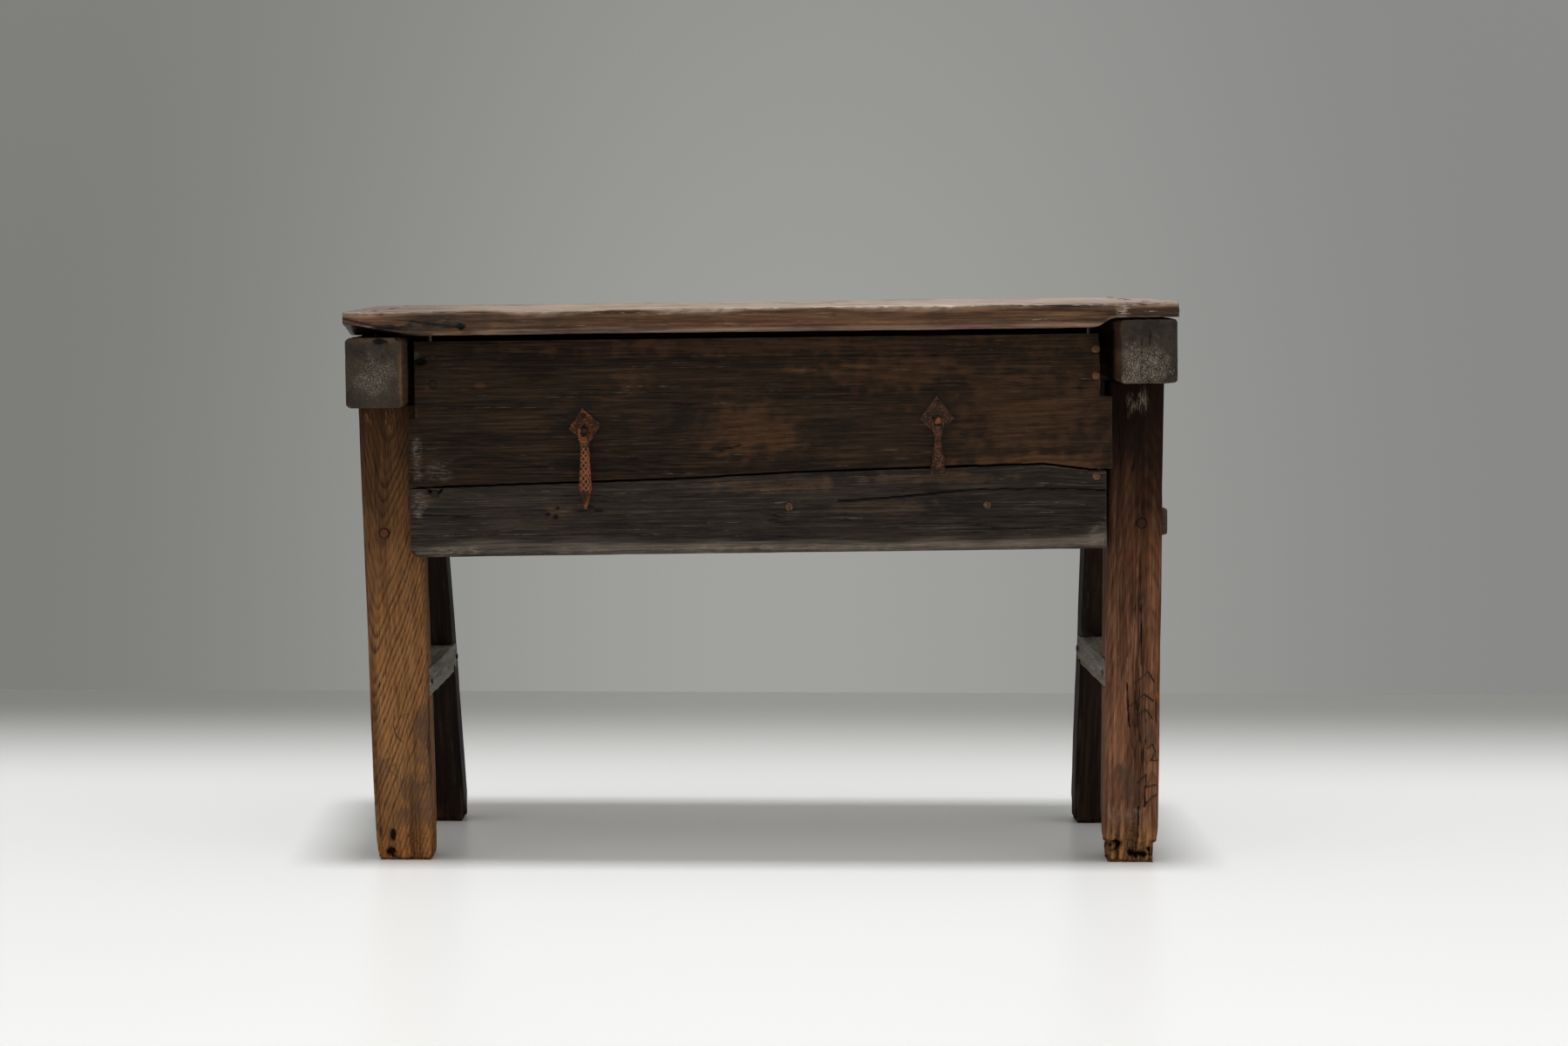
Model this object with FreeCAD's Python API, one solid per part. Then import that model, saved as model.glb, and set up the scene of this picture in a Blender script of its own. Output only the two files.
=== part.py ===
"""Rustic writing table with one deep drawer, in millimetres.

Two trestles, each a heavy beam on two splayed legs, carry a top of two thick planks.
Pegged rails tie the trestles together and hold the runners of a drawer with two forged drop pulls.
X runs to the right, Y to the back and Z up. Every piece is drawn on a square table first.
The finished table then leans a little to the left, because its left feet have worn shorter.
"""

import FreeCAD
import Part
import math
import os
from collections import namedtuple

from FreeCAD import Vector

# Whole table
TOP_HEIGHT = 738.0
TOP_LENGTH = 1088.0
TOP_DEPTH = 560.0
LEAN_ANGLE = 1.0

# Planks of the top
PLANK_THICKNESS = 34.0
FRONT_PLANK_DEPTH = 320.0
PLANK_JOINT = 1.0
REAR_PLANK_OVERHANG = 6.0
PLANK_EDGE_ROUND = 6.0
HOUSING_DEPTH = 12.0
HOUSING_CLEARANCE = 4.0
HOUSING_RUN_OUT = 32.0
HEWN_CORNER_LENGTH = 104.0
HEWN_CORNER_DEPTH = 110.0
HEWN_CORNER_RISE = 17.0

# Beams under the ends of the top
BEAM_WIDTH = 76.0
LEFT_BEAM_HEIGHT = 93.0
RIGHT_BEAM_HEIGHT = 86.0
BEAM_SIDE_SETBACK = 2.0
BEAM_END_SETBACK = 4.0
BEAM_EDGE_ROUND = 6.0

# Legs
LEFT_LEG_WIDTH = 82.0
RIGHT_LEG_WIDTH = 76.0
LEG_TAPER = 3.0
LEG_DEPTH = 70.0
LEG_SETBACK = 5.0
LEG_SPLAY = 4.0
FOOT_SPREAD = 346.0
FRONT_TOE_IN = 1.4
BACK_LEFT_TOE_IN = 3.0
BACK_RIGHT_TOE_IN = 2.3
LEG_EDGE_ROUND = 6.0
FOOT_WEAR = 4.0
LEG_TENON_LENGTH = 50.0
LEG_TENON_WIDTH = 32.0
LEG_TENON_DEPTH = 46.0

# Side stretchers, let into the inner faces of the legs
STRETCHER_LEVEL = 241.0
STRETCHER_HEIGHT = 40.0
STRETCHER_THICKNESS = 45.0
STRETCHER_STOP = 18.0

# Long rails and drawer runners
RAIL_HEIGHT = 42.0
RAIL_THICKNESS = 40.0
RAIL_TENON_HEIGHT = 38.0
RAIL_TENON_THICKNESS = 22.0
RAIL_TENON_PROUD = 9.0
RAIL_EDGE_ROUND = 3.0
PEG_RADIUS = 6.5
PEG_PROUD = 1.5
PEG_LENGTH = 58.0
PEG_INSET = 29.0
RUNNER_WIDTH = 40.0
RUNNER_HEIGHT = 30.0
RUNNER_TENON_HEIGHT = 16.0
RUNNER_TENON_LENGTH = 15.0

# Back board, nailed to the back faces of the back legs
BACK_BOARD_THICKNESS = 22.0
BACK_BOARD_LAP = 30.0
BACK_BOARD_TOP_GAP = 2.5
BACK_BOARD_NOTCH_GAP = 2.0

# Drawer front
DRAWER_TOP_GAP = 7.5
DRAWER_FRONT_HEIGHT = 286.0
DRAWER_FRONT_THICKNESS = 26.0
DRAWER_STOP_GAP = 0.3
DRAWER_LIP = 52.5
FRONT_LAP_LEFT = 17.5
FRONT_LAP_RIGHT = 6.7
SHOULDER_GAP = 16.0
LEFT_NOTCH_GAP = 8.0
RIGHT_NOTCH_GAP = 20.0
LOWER_BOARD_SHORT = 8.0
SPLIT_LEFT = 92.0
SPLIT_MIDDLE = 110.0
SPLIT_RIGHT = 104.0
SPLIT_GAP = 1.0
FRONT_CORNER_ROUND = 14.0

# Drawer box
DRAWER_SIDE_GAP = 4.0
DRAWER_BACK_GAP = 5.0
DRAWER_SIDE_THICKNESS = 20.0
DRAWER_SIDE_DROP = 8.0
DRAWER_BACK_THICKNESS = 18.0
DRAWER_BACK_DROP = 10.0
DRAWER_BOTTOM_THICKNESS = 18.0
DRAWER_BOTTOM_JOINT = 0.8

# Drop pulls, with their levels above the lower edge of the drawer front
LEFT_PULL_X = -234.0
LEFT_PLATE_LEVEL = 171.5
LEFT_PLATE_HALF_WIDTH = 22.0
LEFT_PLATE_RISE = 24.0
LEFT_PLATE_FALL = 27.0
LEFT_PLATE_TURN = 8.0
LEFT_EYE_LEVEL = 166.5
RIGHT_PULL_X = 230.5
RIGHT_PLATE_LEVEL = 175.5
RIGHT_PLATE_HALF_WIDTH = 23.5
RIGHT_PLATE_RISE = 31.0
RIGHT_PLATE_FALL = 23.0
RIGHT_PLATE_TURN = 0.0
RIGHT_EYE_LEVEL = 174.5
PLATE_THICKNESS = 2.0
PLATE_NAIL_INSET = 9.5
EYE_STANDOFF = 12.0
EYE_WALL = 2.8
STRAP_WIDTH = 8.0
STRAP_LEAF = 2.0
STRAP_TAIL = 16.0
PIN_RADIUS = 2.6
PIN_CLEARANCE = 0.4
HEAD_WIDTH = 17.0
HEAD_RADIUS = 4.8
HEAD_LENGTH = 13.0
SLOT_CLEARANCE = 0.7
SLOT_FLOOR = 7.5
COLLAR_STEP = 2.2

# Wrought nails with square tapered shanks
SHANK_HEAD = 4.0
SHANK_POINT = 2.0
BIG_HEAD_RADIUS = 6.5
SMALL_HEAD_RADIUS = 4.8
CROWN_SHARE = 0.6
HEAD_RISE = 2.2
HEAD_SINK = 2.0
TOP_NAIL_LENGTH = 56.0
STRETCHER_NAIL_LENGTH = 64.0
FRONT_NAIL_LENGTH = 52.0
BOX_NAIL_LENGTH = 44.0
BACK_NAIL_LENGTH = 48.0
PLATE_NAIL_LENGTH = 22.0
OUTER_NAIL_EDGE = 45.0
INNER_NAIL_EDGE = 40.0
SIDE_NAIL_DROP = 13.5
SIDE_NAIL_PITCH = 35.0
SPLIT_NAIL_DROP = 7.5
BOTTOM_NAIL_SPREAD = 262.0
BOTTOM_NAIL_SHIFT = 34.0

# Helpers that keep a cut clean where it runs past a face
OVERCUT = 2.0
UNDER_FLOOR = 60.0

LEFT, RIGHT = -1, 1
FRONT, BACK = -1, 1
UP = Vector(0, 0, 1)

Leg = namedtuple("Leg", "name side end toe_in")
LEGS = (
    Leg("front_left_leg", LEFT, FRONT, FRONT_TOE_IN),
    Leg("front_right_leg", RIGHT, FRONT, FRONT_TOE_IN),
    Leg("back_left_leg", LEFT, BACK, BACK_LEFT_TOE_IN),
    Leg("back_right_leg", RIGHT, BACK, BACK_RIGHT_TOE_IN),
)

# A section of a drop: how far below the pin it lies, how wide it is and how thick it is.
Section = namedtuple("Section", "fall width thickness")
POINTED_DROP = (
    Section(22.0, 11.8, 8.5),
    Section(48.0, 14.0, 10.0),
    Section(76.0, 17.4, 11.0),
    Section(90.0, 12.0, 8.5),
    Section(104.5, 3.0, 2.5),
)
CLUB_DROP = (
    Section(22.0, 8.9, 7.5),
    Section(34.0, 10.5, 8.5),
    Section(50.0, 15.0, 10.0),
    Section(65.0, 18.5, 11.0),
    Section(71.5, 15.5, 9.0),
)

# A pull: where its plate and its eye sit, the reach of the plate's corners, and how far the plate is turned.
Pull = namedtuple("Pull", "name x plate_level half_width rise fall turn eye_level sections")
PULLS = (
    Pull("left", LEFT_PULL_X, LEFT_PLATE_LEVEL, LEFT_PLATE_HALF_WIDTH, LEFT_PLATE_RISE, LEFT_PLATE_FALL,
         LEFT_PLATE_TURN, LEFT_EYE_LEVEL, POINTED_DROP),
    Pull("right", RIGHT_PULL_X, RIGHT_PLATE_LEVEL, RIGHT_PLATE_HALF_WIDTH, RIGHT_PLATE_RISE, RIGHT_PLATE_FALL,
         RIGHT_PLATE_TURN, RIGHT_EYE_LEVEL, CLUB_DROP),
)


# Plain shapes

def block(x0, x1, y0, y1, z0, z1):
    """A box between two corners, given in any order."""
    low = Vector(min(x0, x1), min(y0, y1), min(z0, z1))
    return Part.makeBox(abs(x1 - x0), abs(y1 - y0), abs(z1 - z0), low)


def plate(points, thickness):
    """A prism: the closed outline through the points, pushed along the thickness vector."""
    return Part.Face(Part.makePolygon(points + points[:1])).extrude(thickness)


def flat_sided(outlines):
    """The solid that flat outlines enclose. Seen from outside, they all run the same way round."""
    faces = [Part.Face(Part.makePolygon(points + points[:1])) for points in outlines]
    solid = Part.makeSolid(Part.makeShell(faces))
    if solid.Volume < 0:
        solid.reverse()
    return solid


def lofted(outlines):
    """A solid with flat sides through outlines that have the same number of corners."""
    sides = []
    for low, high in zip(outlines, outlines[1:]):
        for corner in range(len(low)):
            sides.append([low[corner - 1], low[corner], high[corner], high[corner - 1]])
    return flat_sided([outlines[0][::-1], outlines[-1]] + sides)


def ring(radius, z):
    """Eight corners round the Z axis, with flats to the sides."""
    turns = [math.radians(22.5 + 45 * step) for step in range(8)]
    return [Vector(radius * math.cos(turn), radius * math.sin(turn), z) for turn in turns]


def level_rectangle(x0, x1, y0, y1, z):
    return [Vector(x0, y0, z), Vector(x1, y0, z), Vector(x1, y1, z), Vector(x0, y1, z)]


def upright_rectangle(x0, x1, y, z0, z1):
    return [Vector(x0, y, z0), Vector(x1, y, z0), Vector(x1, y, z1), Vector(x0, y, z1)]


def without(shape, tools):
    """The shape with every tool cut out of it."""
    for tool in tools:
        shape = shape.cut(tool)
    return shape


def eased(shape, radius, wanted):
    """The shape with the wanted straight edges rounded. An edge is chosen by its direction and middle."""
    edges = []
    for edge in shape.Edges:
        start, end = edge.Vertexes[0].Point, edge.Vertexes[-1].Point
        along = end - start
        if along.Length > OVERCUT and wanted(along.normalize(), (start + end) * 0.5):
            edges.append(edge)
    return shape.makeFillet(radius, edges)


def runs_along_x(along, middle):
    return abs(along.x) > 0.99


def runs_along_y(along, middle):
    return abs(along.y) > 0.99


def runs_up(along, middle):
    return abs(along.z) > 0.9


# Levels and places that several pieces share

def beam_height(side):
    return LEFT_BEAM_HEIGHT if side == LEFT else RIGHT_BEAM_HEIGHT


def beam_top(side):
    """The left end of the top rests on its beam at full thickness. The right end is thinned over its beam."""
    housing = HOUSING_DEPTH if side == RIGHT else 0.0
    return TOP_HEIGHT - PLANK_THICKNESS + housing


def beam_bottom(side):
    return beam_top(side) - beam_height(side)


def beam_outer():
    return TOP_LENGTH / 2 - BEAM_SIDE_SETBACK


def beam_inner():
    return beam_outer() - BEAM_WIDTH


def leg_width(leg, level):
    """Width of a leg at a level above the floor. It narrows towards the foot."""
    top_width = LEFT_LEG_WIDTH if leg.side == LEFT else RIGHT_LEG_WIDTH
    return top_width - LEG_TAPER * (1 - level / beam_bottom(leg.side))


def leg_centre(leg, level):
    """Middle of a leg at a level: legs toe in sideways and splay to the front or back on the way down."""
    top_width = LEFT_LEG_WIDTH if leg.side == LEFT else RIGHT_LEG_WIDTH
    top_x = beam_outer() - LEG_SETBACK - top_width / 2
    drop = beam_bottom(leg.side) - level
    x = leg.side * (top_x - drop * math.tan(math.radians(leg.toe_in)))
    y = leg.end * (FOOT_SPREAD / 2 - level * math.tan(math.radians(LEG_SPLAY)))
    return x, y


def leg_inner(leg, level):
    """X of the face of a leg that looks towards the middle of the table."""
    return leg_centre(leg, level)[0] - leg.side * leg_width(leg, level) / 2


def leg_outer(leg, level):
    return leg_centre(leg, level)[0] + leg.side * leg_width(leg, level) / 2


def leg_outer_y(leg, level):
    """Y of the front face of a front leg, or of the back face of a back leg."""
    return leg_centre(leg, level)[1] + leg.end * LEG_DEPTH / 2


def legs_where(**wanted):
    return [leg for leg in LEGS if all(getattr(leg, key) == value for key, value in wanted.items())]


def drawer_top():
    return TOP_HEIGHT - PLANK_THICKNESS - DRAWER_TOP_GAP


def drawer_bottom():
    return drawer_top() - DRAWER_FRONT_HEIGHT


def rail_top():
    """Level of the rails and runners that the drawer slides on. The drawer front hangs below it by a lip."""
    return drawer_bottom() + DRAWER_LIP


def drawer_front_back():
    """Y of the back face of the drawer front, which stops against the front legs at its lower edge."""
    front_leg = legs_where(end=FRONT)[0]
    return leg_outer_y(front_leg, drawer_bottom()) - DRAWER_STOP_GAP


def drawer_front_face():
    return drawer_front_back() - DRAWER_FRONT_THICKNESS


def drawer_box_side(side):
    """X of the outer face of a drawer side, clear of the narrowest place between the legs."""
    nearest = min(abs(leg_inner(leg, rail_top())) for leg in legs_where(side=side))
    return side * (nearest - DRAWER_SIDE_GAP)


def back_leg_face(level):
    """Y of the back faces of the back legs at a level."""
    return leg_outer_y(legs_where(end=BACK)[0], level)


def drawer_box_back():
    """Y of the back of the drawer box, clear of the back board at its upper edge."""
    return back_leg_face(drawer_side_top()) - DRAWER_BACK_GAP


def drawer_side_top():
    return drawer_top() - DRAWER_SIDE_DROP


def drawer_floor():
    """Level of the upper face of the drawer bottom."""
    return rail_top() + DRAWER_BOTTOM_THICKNESS


def rail_centre_y(end):
    return leg_centre(legs_where(end=end)[0], rail_top() - RAIL_HEIGHT / 2)[1]


# Top

def plank_outline(left_end, y):
    """Front view of a plank: its right end is thinned over the right beam, with a run-out of two arcs."""
    top, under = TOP_HEIGHT, TOP_HEIGHT - PLANK_THICKNESS
    right_end = TOP_LENGTH / 2
    thin = under + HOUSING_DEPTH
    run_end = beam_inner() - HOUSING_CLEARANCE
    run_start = run_end - HOUSING_RUN_OUT
    half_way = Vector((run_start + run_end) / 2, y, (under + thin) / 2)
    radius = (HOUSING_RUN_OUT ** 2 + HOUSING_DEPTH ** 2) / (4 * HOUSING_DEPTH)
    turn = math.asin(HOUSING_RUN_OUT / 2 / radius) / 2
    reach, rise = radius * math.sin(turn), radius * (1 - math.cos(turn))
    start, end = Vector(run_start, y, under), Vector(run_end, y, thin)
    corners = [end, Vector(right_end, y, thin), Vector(right_end, y, top),
               Vector(left_end, y, top), Vector(left_end, y, under), start]
    edges = [Part.LineSegment(a, b).toShape() for a, b in zip(corners, corners[1:])]
    edges.append(Part.Arc(start, Vector(run_start + reach, y, under + rise), half_way).toShape())
    edges.append(Part.Arc(half_way, Vector(run_end - reach, y, thin - rise), end).toShape())
    return Part.Wire(Part.__sortEdges__(edges))


def plank(left_end, y0, y1):
    return Part.Face(plank_outline(left_end, y0)).extrude(Vector(0, y1 - y0, 0))


def hewn_corner():
    """Wedge that was hewn off the underside of the top at its front left corner."""
    corner = Vector(-TOP_LENGTH / 2, -TOP_DEPTH / 2, TOP_HEIGHT - PLANK_THICKNESS)
    along = corner + Vector(HEWN_CORNER_LENGTH, 0, 0)
    above = corner + Vector(0, 0, HEWN_CORNER_RISE)
    behind = corner + Vector(0, HEWN_CORNER_DEPTH, 0)
    return flat_sided([[corner, above, along], [corner, along, behind],
                       [corner, behind, above], [along, above, behind]])


def make_top():
    front, joint = -TOP_DEPTH / 2, -TOP_DEPTH / 2 + FRONT_PLANK_DEPTH
    front_plank = plank(-TOP_LENGTH / 2, front, joint)
    rear_plank = plank(-TOP_LENGTH / 2 - REAR_PLANK_OVERHANG, joint + PLANK_JOINT, TOP_DEPTH / 2)
    front_plank = eased(front_plank, PLANK_EDGE_ROUND,
                        lambda along, middle: runs_along_x(along, middle) and middle.y < front + OVERCUT
                        and middle.z > TOP_HEIGHT - OVERCUT)
    rear_plank = eased(rear_plank, PLANK_EDGE_ROUND,
                       lambda along, middle: runs_along_x(along, middle) and middle.y > -front - OVERCUT
                       and middle.z > TOP_HEIGHT - OVERCUT)
    return {"top_front_plank": front_plank.cut(hewn_corner()), "top_rear_plank": rear_plank}


# Beams

def make_beams():
    beams = {}
    for name, side in (("left_beam", LEFT), ("right_beam", RIGHT)):
        end = TOP_DEPTH / 2 - BEAM_END_SETBACK
        beam = block(side * beam_inner(), side * beam_outer(), -end, end, beam_bottom(side), beam_top(side))
        beams[name] = eased(beam, BEAM_EDGE_ROUND, runs_along_y)
    return beams


# Legs

def leg_section(leg, level, width, depth):
    """A level rectangle round the middle of a leg."""
    x, y = leg_centre(leg, level)
    return level_rectangle(x - width / 2, x + width / 2, y - depth / 2, y + depth / 2, level)


def leg_post(leg):
    """A leg from below the floor to the underside of its beam, without tenon or mortises."""
    levels = (-UNDER_FLOOR, beam_bottom(leg.side))
    return lofted([leg_section(leg, level, leg_width(leg, level), LEG_DEPTH) for level in levels])


def leg_tenon(leg):
    """Stub tenon on top of a leg, in line with it, for the mortise in the beam."""
    shoulder = beam_bottom(leg.side)
    levels = (shoulder, shoulder + LEG_TENON_LENGTH)
    return lofted([leg_section(leg, level, LEG_TENON_WIDTH, LEG_TENON_DEPTH) for level in levels])


# Stretchers

def stretcher_end(leg):
    """Y where a stretcher stops inside a leg, short of the leg's outer face."""
    return leg_outer_y(leg, STRETCHER_LEVEL + STRETCHER_HEIGHT / 2) - leg.end * STRETCHER_STOP


def stretcher_bar(side):
    """A stretcher flush with the inner faces of both legs of a trestle, stopped inside them."""
    low, high = STRETCHER_LEVEL - STRETCHER_HEIGHT / 2, STRETCHER_LEVEL + STRETCHER_HEIGHT / 2
    sections = []
    for leg in legs_where(side=side):
        inner = leg_inner(leg, low)
        outer = inner + side * STRETCHER_THICKNESS
        sections.append(upright_rectangle(inner, outer, stretcher_end(leg), low, high))
    return lofted(sections)


def stretcher_face(side, y):
    """X of the inner face of a stretcher at a depth. It follows both legs, so it isn't quite square."""
    low = STRETCHER_LEVEL - STRETCHER_HEIGHT / 2
    front_leg, back_leg = legs_where(side=side)
    share = (y - stretcher_end(front_leg)) / (stretcher_end(back_leg) - stretcher_end(front_leg))
    return leg_inner(front_leg, low) * (1 - share) + leg_inner(back_leg, low) * share


# Rails, pegs and runners

def rail_tenon(end):
    """Tenons of a rail: one bar that is flush with the left leg and stands proud of the right one."""
    left_leg, right_leg = legs_where(side=LEFT, end=end)[0], legs_where(side=RIGHT, end=end)[0]
    middle, y = rail_top() - RAIL_HEIGHT / 2, rail_centre_y(end)
    return block(leg_outer(left_leg, middle), leg_outer(right_leg, middle) + RAIL_TENON_PROUD,
                 y - RAIL_TENON_THICKNESS / 2, y + RAIL_TENON_THICKNESS / 2,
                 middle - RAIL_TENON_HEIGHT / 2, middle + RAIL_TENON_HEIGHT / 2)


def rail(end, posts):
    """A long rail with shoulders that follow the inner faces of the leaning legs."""
    y, reach = rail_centre_y(end), beam_inner() + BEAM_WIDTH / 2
    half, under = RAIL_THICKNESS / 2, rail_top() - RAIL_HEIGHT
    bar = block(-reach, reach, y - half, y + half, under, rail_top())
    bar = eased(bar, RAIL_EDGE_ROUND, lambda along, middle: runs_along_x(along, middle)
                and middle.z < under + OVERCUT)
    between_legs = max(without(bar, posts).Solids, key=lambda solid: solid.Volume)
    return between_legs.fuse(rail_tenon(end)).removeSplitter()


def rail_peg(leg):
    """Riven peg through a leg and the tenon of its rail, driven from the outside."""
    level = rail_top() - RAIL_HEIGHT / 2
    x = leg_outer(leg, level) - leg.side * PEG_INSET
    y = leg_outer_y(leg, level) + leg.end * PEG_PROUD
    peg = lofted([ring(PEG_RADIUS, 0.0), ring(PEG_RADIUS, PEG_LENGTH)])
    peg.Placement = FreeCAD.Placement(Vector(x, y, level), FreeCAD.Rotation(UP, Vector(0, -leg.end, 0)))
    return peg


def runner(side):
    """A drawer runner between the rails, with stub tenons in both."""
    inner_face = rail_centre_y(BACK) - RAIL_THICKNESS / 2
    x0 = drawer_box_side(side)
    x1 = x0 - side * RUNNER_WIDTH
    tenon_low = rail_top() - RUNNER_HEIGHT / 2 - RUNNER_TENON_HEIGHT / 2
    reach = inner_face + RUNNER_TENON_LENGTH
    body = block(x0, x1, -inner_face, inner_face, rail_top() - RUNNER_HEIGHT, rail_top())
    tenons = block(x0, x1, -reach, reach, tenon_low, tenon_low + RUNNER_TENON_HEIGHT)
    return body.fuse(tenons).removeSplitter()


# Back board

def back_board_normal():
    """The way out of the back faces of the back legs."""
    splay = math.radians(LEG_SPLAY)
    return Vector(0, math.cos(splay), math.sin(splay))


def back_board_bottom():
    return rail_top() - RAIL_HEIGHT


def back_board_shoulder(side):
    return beam_bottom(side) - BACK_BOARD_NOTCH_GAP


def back_board():
    """A board against the back legs, notched to pass between the beams. It closes the back up to the top."""
    low, high = back_board_bottom(), TOP_HEIGHT - PLANK_THICKNESS - BACK_BOARD_TOP_GAP
    neck = beam_inner() - BACK_BOARD_NOTCH_GAP
    outline = []
    for leg in legs_where(end=BACK):
        reach = leg_inner(leg, low) + leg.side * BACK_BOARD_LAP
        shoulder = back_board_shoulder(leg.side)
        half = [(reach, low), (reach, shoulder), (leg.side * neck, shoulder), (leg.side * neck, high)]
        outline += half if leg.side == LEFT else half[::-1]
    points = [Vector(x, back_leg_face(level), level) for x, level in outline]
    face = Part.Face(Part.makePolygon(points + points[:1]))
    return face.extrude(back_board_normal() * BACK_BOARD_THICKNESS)


# Nails

def nail(place, direction, length, head_radius, sink=0.0):
    """A wrought nail: a faceted head and a square tapered shank along the direction.

    The head stands on the surface at the place, or it lies flush with it when it is sunk.
    """
    crown = head_radius * CROWN_SHARE
    head = [ring(crown, -HEAD_RISE), ring(head_radius, 0.0)]
    if sink:
        head = [ring(head_radius, 0.0), ring(crown, sink)]
    widths = ((SHANK_HEAD, sink), (SHANK_POINT, length))
    shank = [level_rectangle(-width / 2, width / 2, -width / 2, width / 2, z) for width, z in widths]
    made = lofted(head).fuse(lofted(shank)).removeSplitter()
    made.Placement = FreeCAD.Placement(place, FreeCAD.Rotation(UP, direction))
    return made


def top_nails():
    """Nails through both planks into the beams, driven flush."""
    joint = -TOP_DEPTH / 2 + FRONT_PLANK_DEPTH
    rows = (-TOP_DEPTH / 2 + OUTER_NAIL_EDGE, joint - INNER_NAIL_EDGE,
            joint + PLANK_JOINT + INNER_NAIL_EDGE, TOP_DEPTH / 2 - OUTER_NAIL_EDGE)
    x = beam_outer() - BEAM_WIDTH / 2
    return [nail(Vector(side * x, y, TOP_HEIGHT), -UP, TOP_NAIL_LENGTH, BIG_HEAD_RADIUS, HEAD_SINK)
            for side in (LEFT, RIGHT) for y in rows]


def stretcher_nails():
    """One nail through each lapped end of a stretcher, from the inside."""
    nails = []
    for leg in LEGS:
        y = leg_centre(leg, STRETCHER_LEVEL)[1]
        place = Vector(stretcher_face(leg.side, y), y, STRETCHER_LEVEL)
        nails.append(nail(place, Vector(leg.side, 0, 0), STRETCHER_NAIL_LENGTH, BIG_HEAD_RADIUS))
    return nails


def back_board_nails():
    """Two nails through each end of the back board into the leg, above the tenon of the rail."""
    nails = []
    for leg in legs_where(end=BACK):
        for level in (rail_top() + INNER_NAIL_EDGE, back_board_shoulder(leg.side) - INNER_NAIL_EDGE):
            x = leg_inner(leg, level) + leg.side * BACK_BOARD_LAP / 2
            place = Vector(x, back_leg_face(level), level) + back_board_normal() * BACK_BOARD_THICKNESS
            nails.append(nail(place, -back_board_normal(), BACK_NAIL_LENGTH, BIG_HEAD_RADIUS))
    return nails


# Drawer

def split_level(share):
    """Heights that the split between the two front boards passes, above the lower edge of the front."""
    return drawer_bottom() + share


def split_arc(x0, x1, y, lift):
    """The split between the front boards, as an arc from x0 to x1, lifted by a gap for the upper board."""
    ends = (Vector(x0, y, split_level(SPLIT_LEFT) + lift), Vector(x1, y, split_level(SPLIT_RIGHT) + lift))
    middle = Vector((x0 + x1) / 2, y, split_level(SPLIT_MIDDLE) + lift)
    return Part.Arc(ends[0], middle, ends[1]).toShape()


def front_edge(side):
    """X of the end of the drawer front where it laps over the front leg."""
    leg = legs_where(side=side, end=FRONT)[0]
    lap = FRONT_LAP_LEFT if side == LEFT else FRONT_LAP_RIGHT
    return leg_inner(leg, drawer_bottom()) + side * lap


def board_of(arc, corners):
    """A front board: the split arc, closed by straight edges from its right end through the corners."""
    path = [arc.Vertexes[-1].Point] + corners + [arc.Vertexes[0].Point]
    lines = [Part.LineSegment(a, b).toShape() for a, b in zip(path, path[1:])]
    outline = Part.Wire(Part.__sortEdges__([arc] + lines))
    return Part.Face(outline).extrude(Vector(0, DRAWER_FRONT_THICKNESS, 0))


def drawer_front():
    """Upper and lower board of the drawer front. The upper one is notched to pass between the beams."""
    y, left, right = drawer_front_face(), front_edge(LEFT), front_edge(RIGHT)
    shoulder = {side: beam_bottom(side) - SHOULDER_GAP for side in (LEFT, RIGHT)}
    left_neck, right_neck = -beam_inner() + LEFT_NOTCH_GAP, beam_inner() - RIGHT_NOTCH_GAP
    upper_corners = [Vector(right, y, shoulder[RIGHT]), Vector(right_neck, y, shoulder[RIGHT]),
                     Vector(right_neck, y, drawer_top()), Vector(left_neck, y, drawer_top()),
                     Vector(left_neck, y, shoulder[LEFT]), Vector(left, y, shoulder[LEFT])]
    upper = board_of(split_arc(left, right, y, SPLIT_GAP), upper_corners)
    lower_corners = [Vector(right, y, drawer_bottom()), Vector(left, y, drawer_bottom())]
    lower = board_of(split_arc(left, right, y, 0.0), lower_corners)
    lower = lower.cut(block(right - LOWER_BOARD_SHORT, right + OVERCUT, y - OVERCUT,
                            y + DRAWER_FRONT_THICKNESS + OVERCUT, drawer_bottom() - OVERCUT, drawer_top()))
    lower = eased(lower, FRONT_CORNER_ROUND, lambda along, middle: runs_along_y(along, middle)
                  and middle.z < drawer_bottom() + OVERCUT and middle.x < 0)
    return {"drawer_front_upper_board": upper, "drawer_front_lower_board": lower}


def drawer_box():
    """Sides and back on two bottom boards, all behind the front."""
    left, right = drawer_box_side(LEFT), drawer_box_side(RIGHT)
    front, back, low, high = drawer_front_back(), drawer_box_back(), drawer_floor(), drawer_side_top()
    middle, half_joint = (front + back) / 2, DRAWER_BOTTOM_JOINT / 2
    inner_left, inner_right = left + DRAWER_SIDE_THICKNESS, right - DRAWER_SIDE_THICKNESS
    return {
        "drawer_left_side": block(left, inner_left, front, back, low, high),
        "drawer_right_side": block(inner_right, right, front, back, low, high),
        "drawer_back": block(inner_left, inner_right, back - DRAWER_BACK_THICKNESS, back,
                             low, high - DRAWER_BACK_DROP),
        "drawer_bottom_front_board": block(left, right, front, middle - half_joint, rail_top(), low),
        "drawer_bottom_rear_board": block(left, right, middle + half_joint, back, rail_top(), low),
    }


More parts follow.
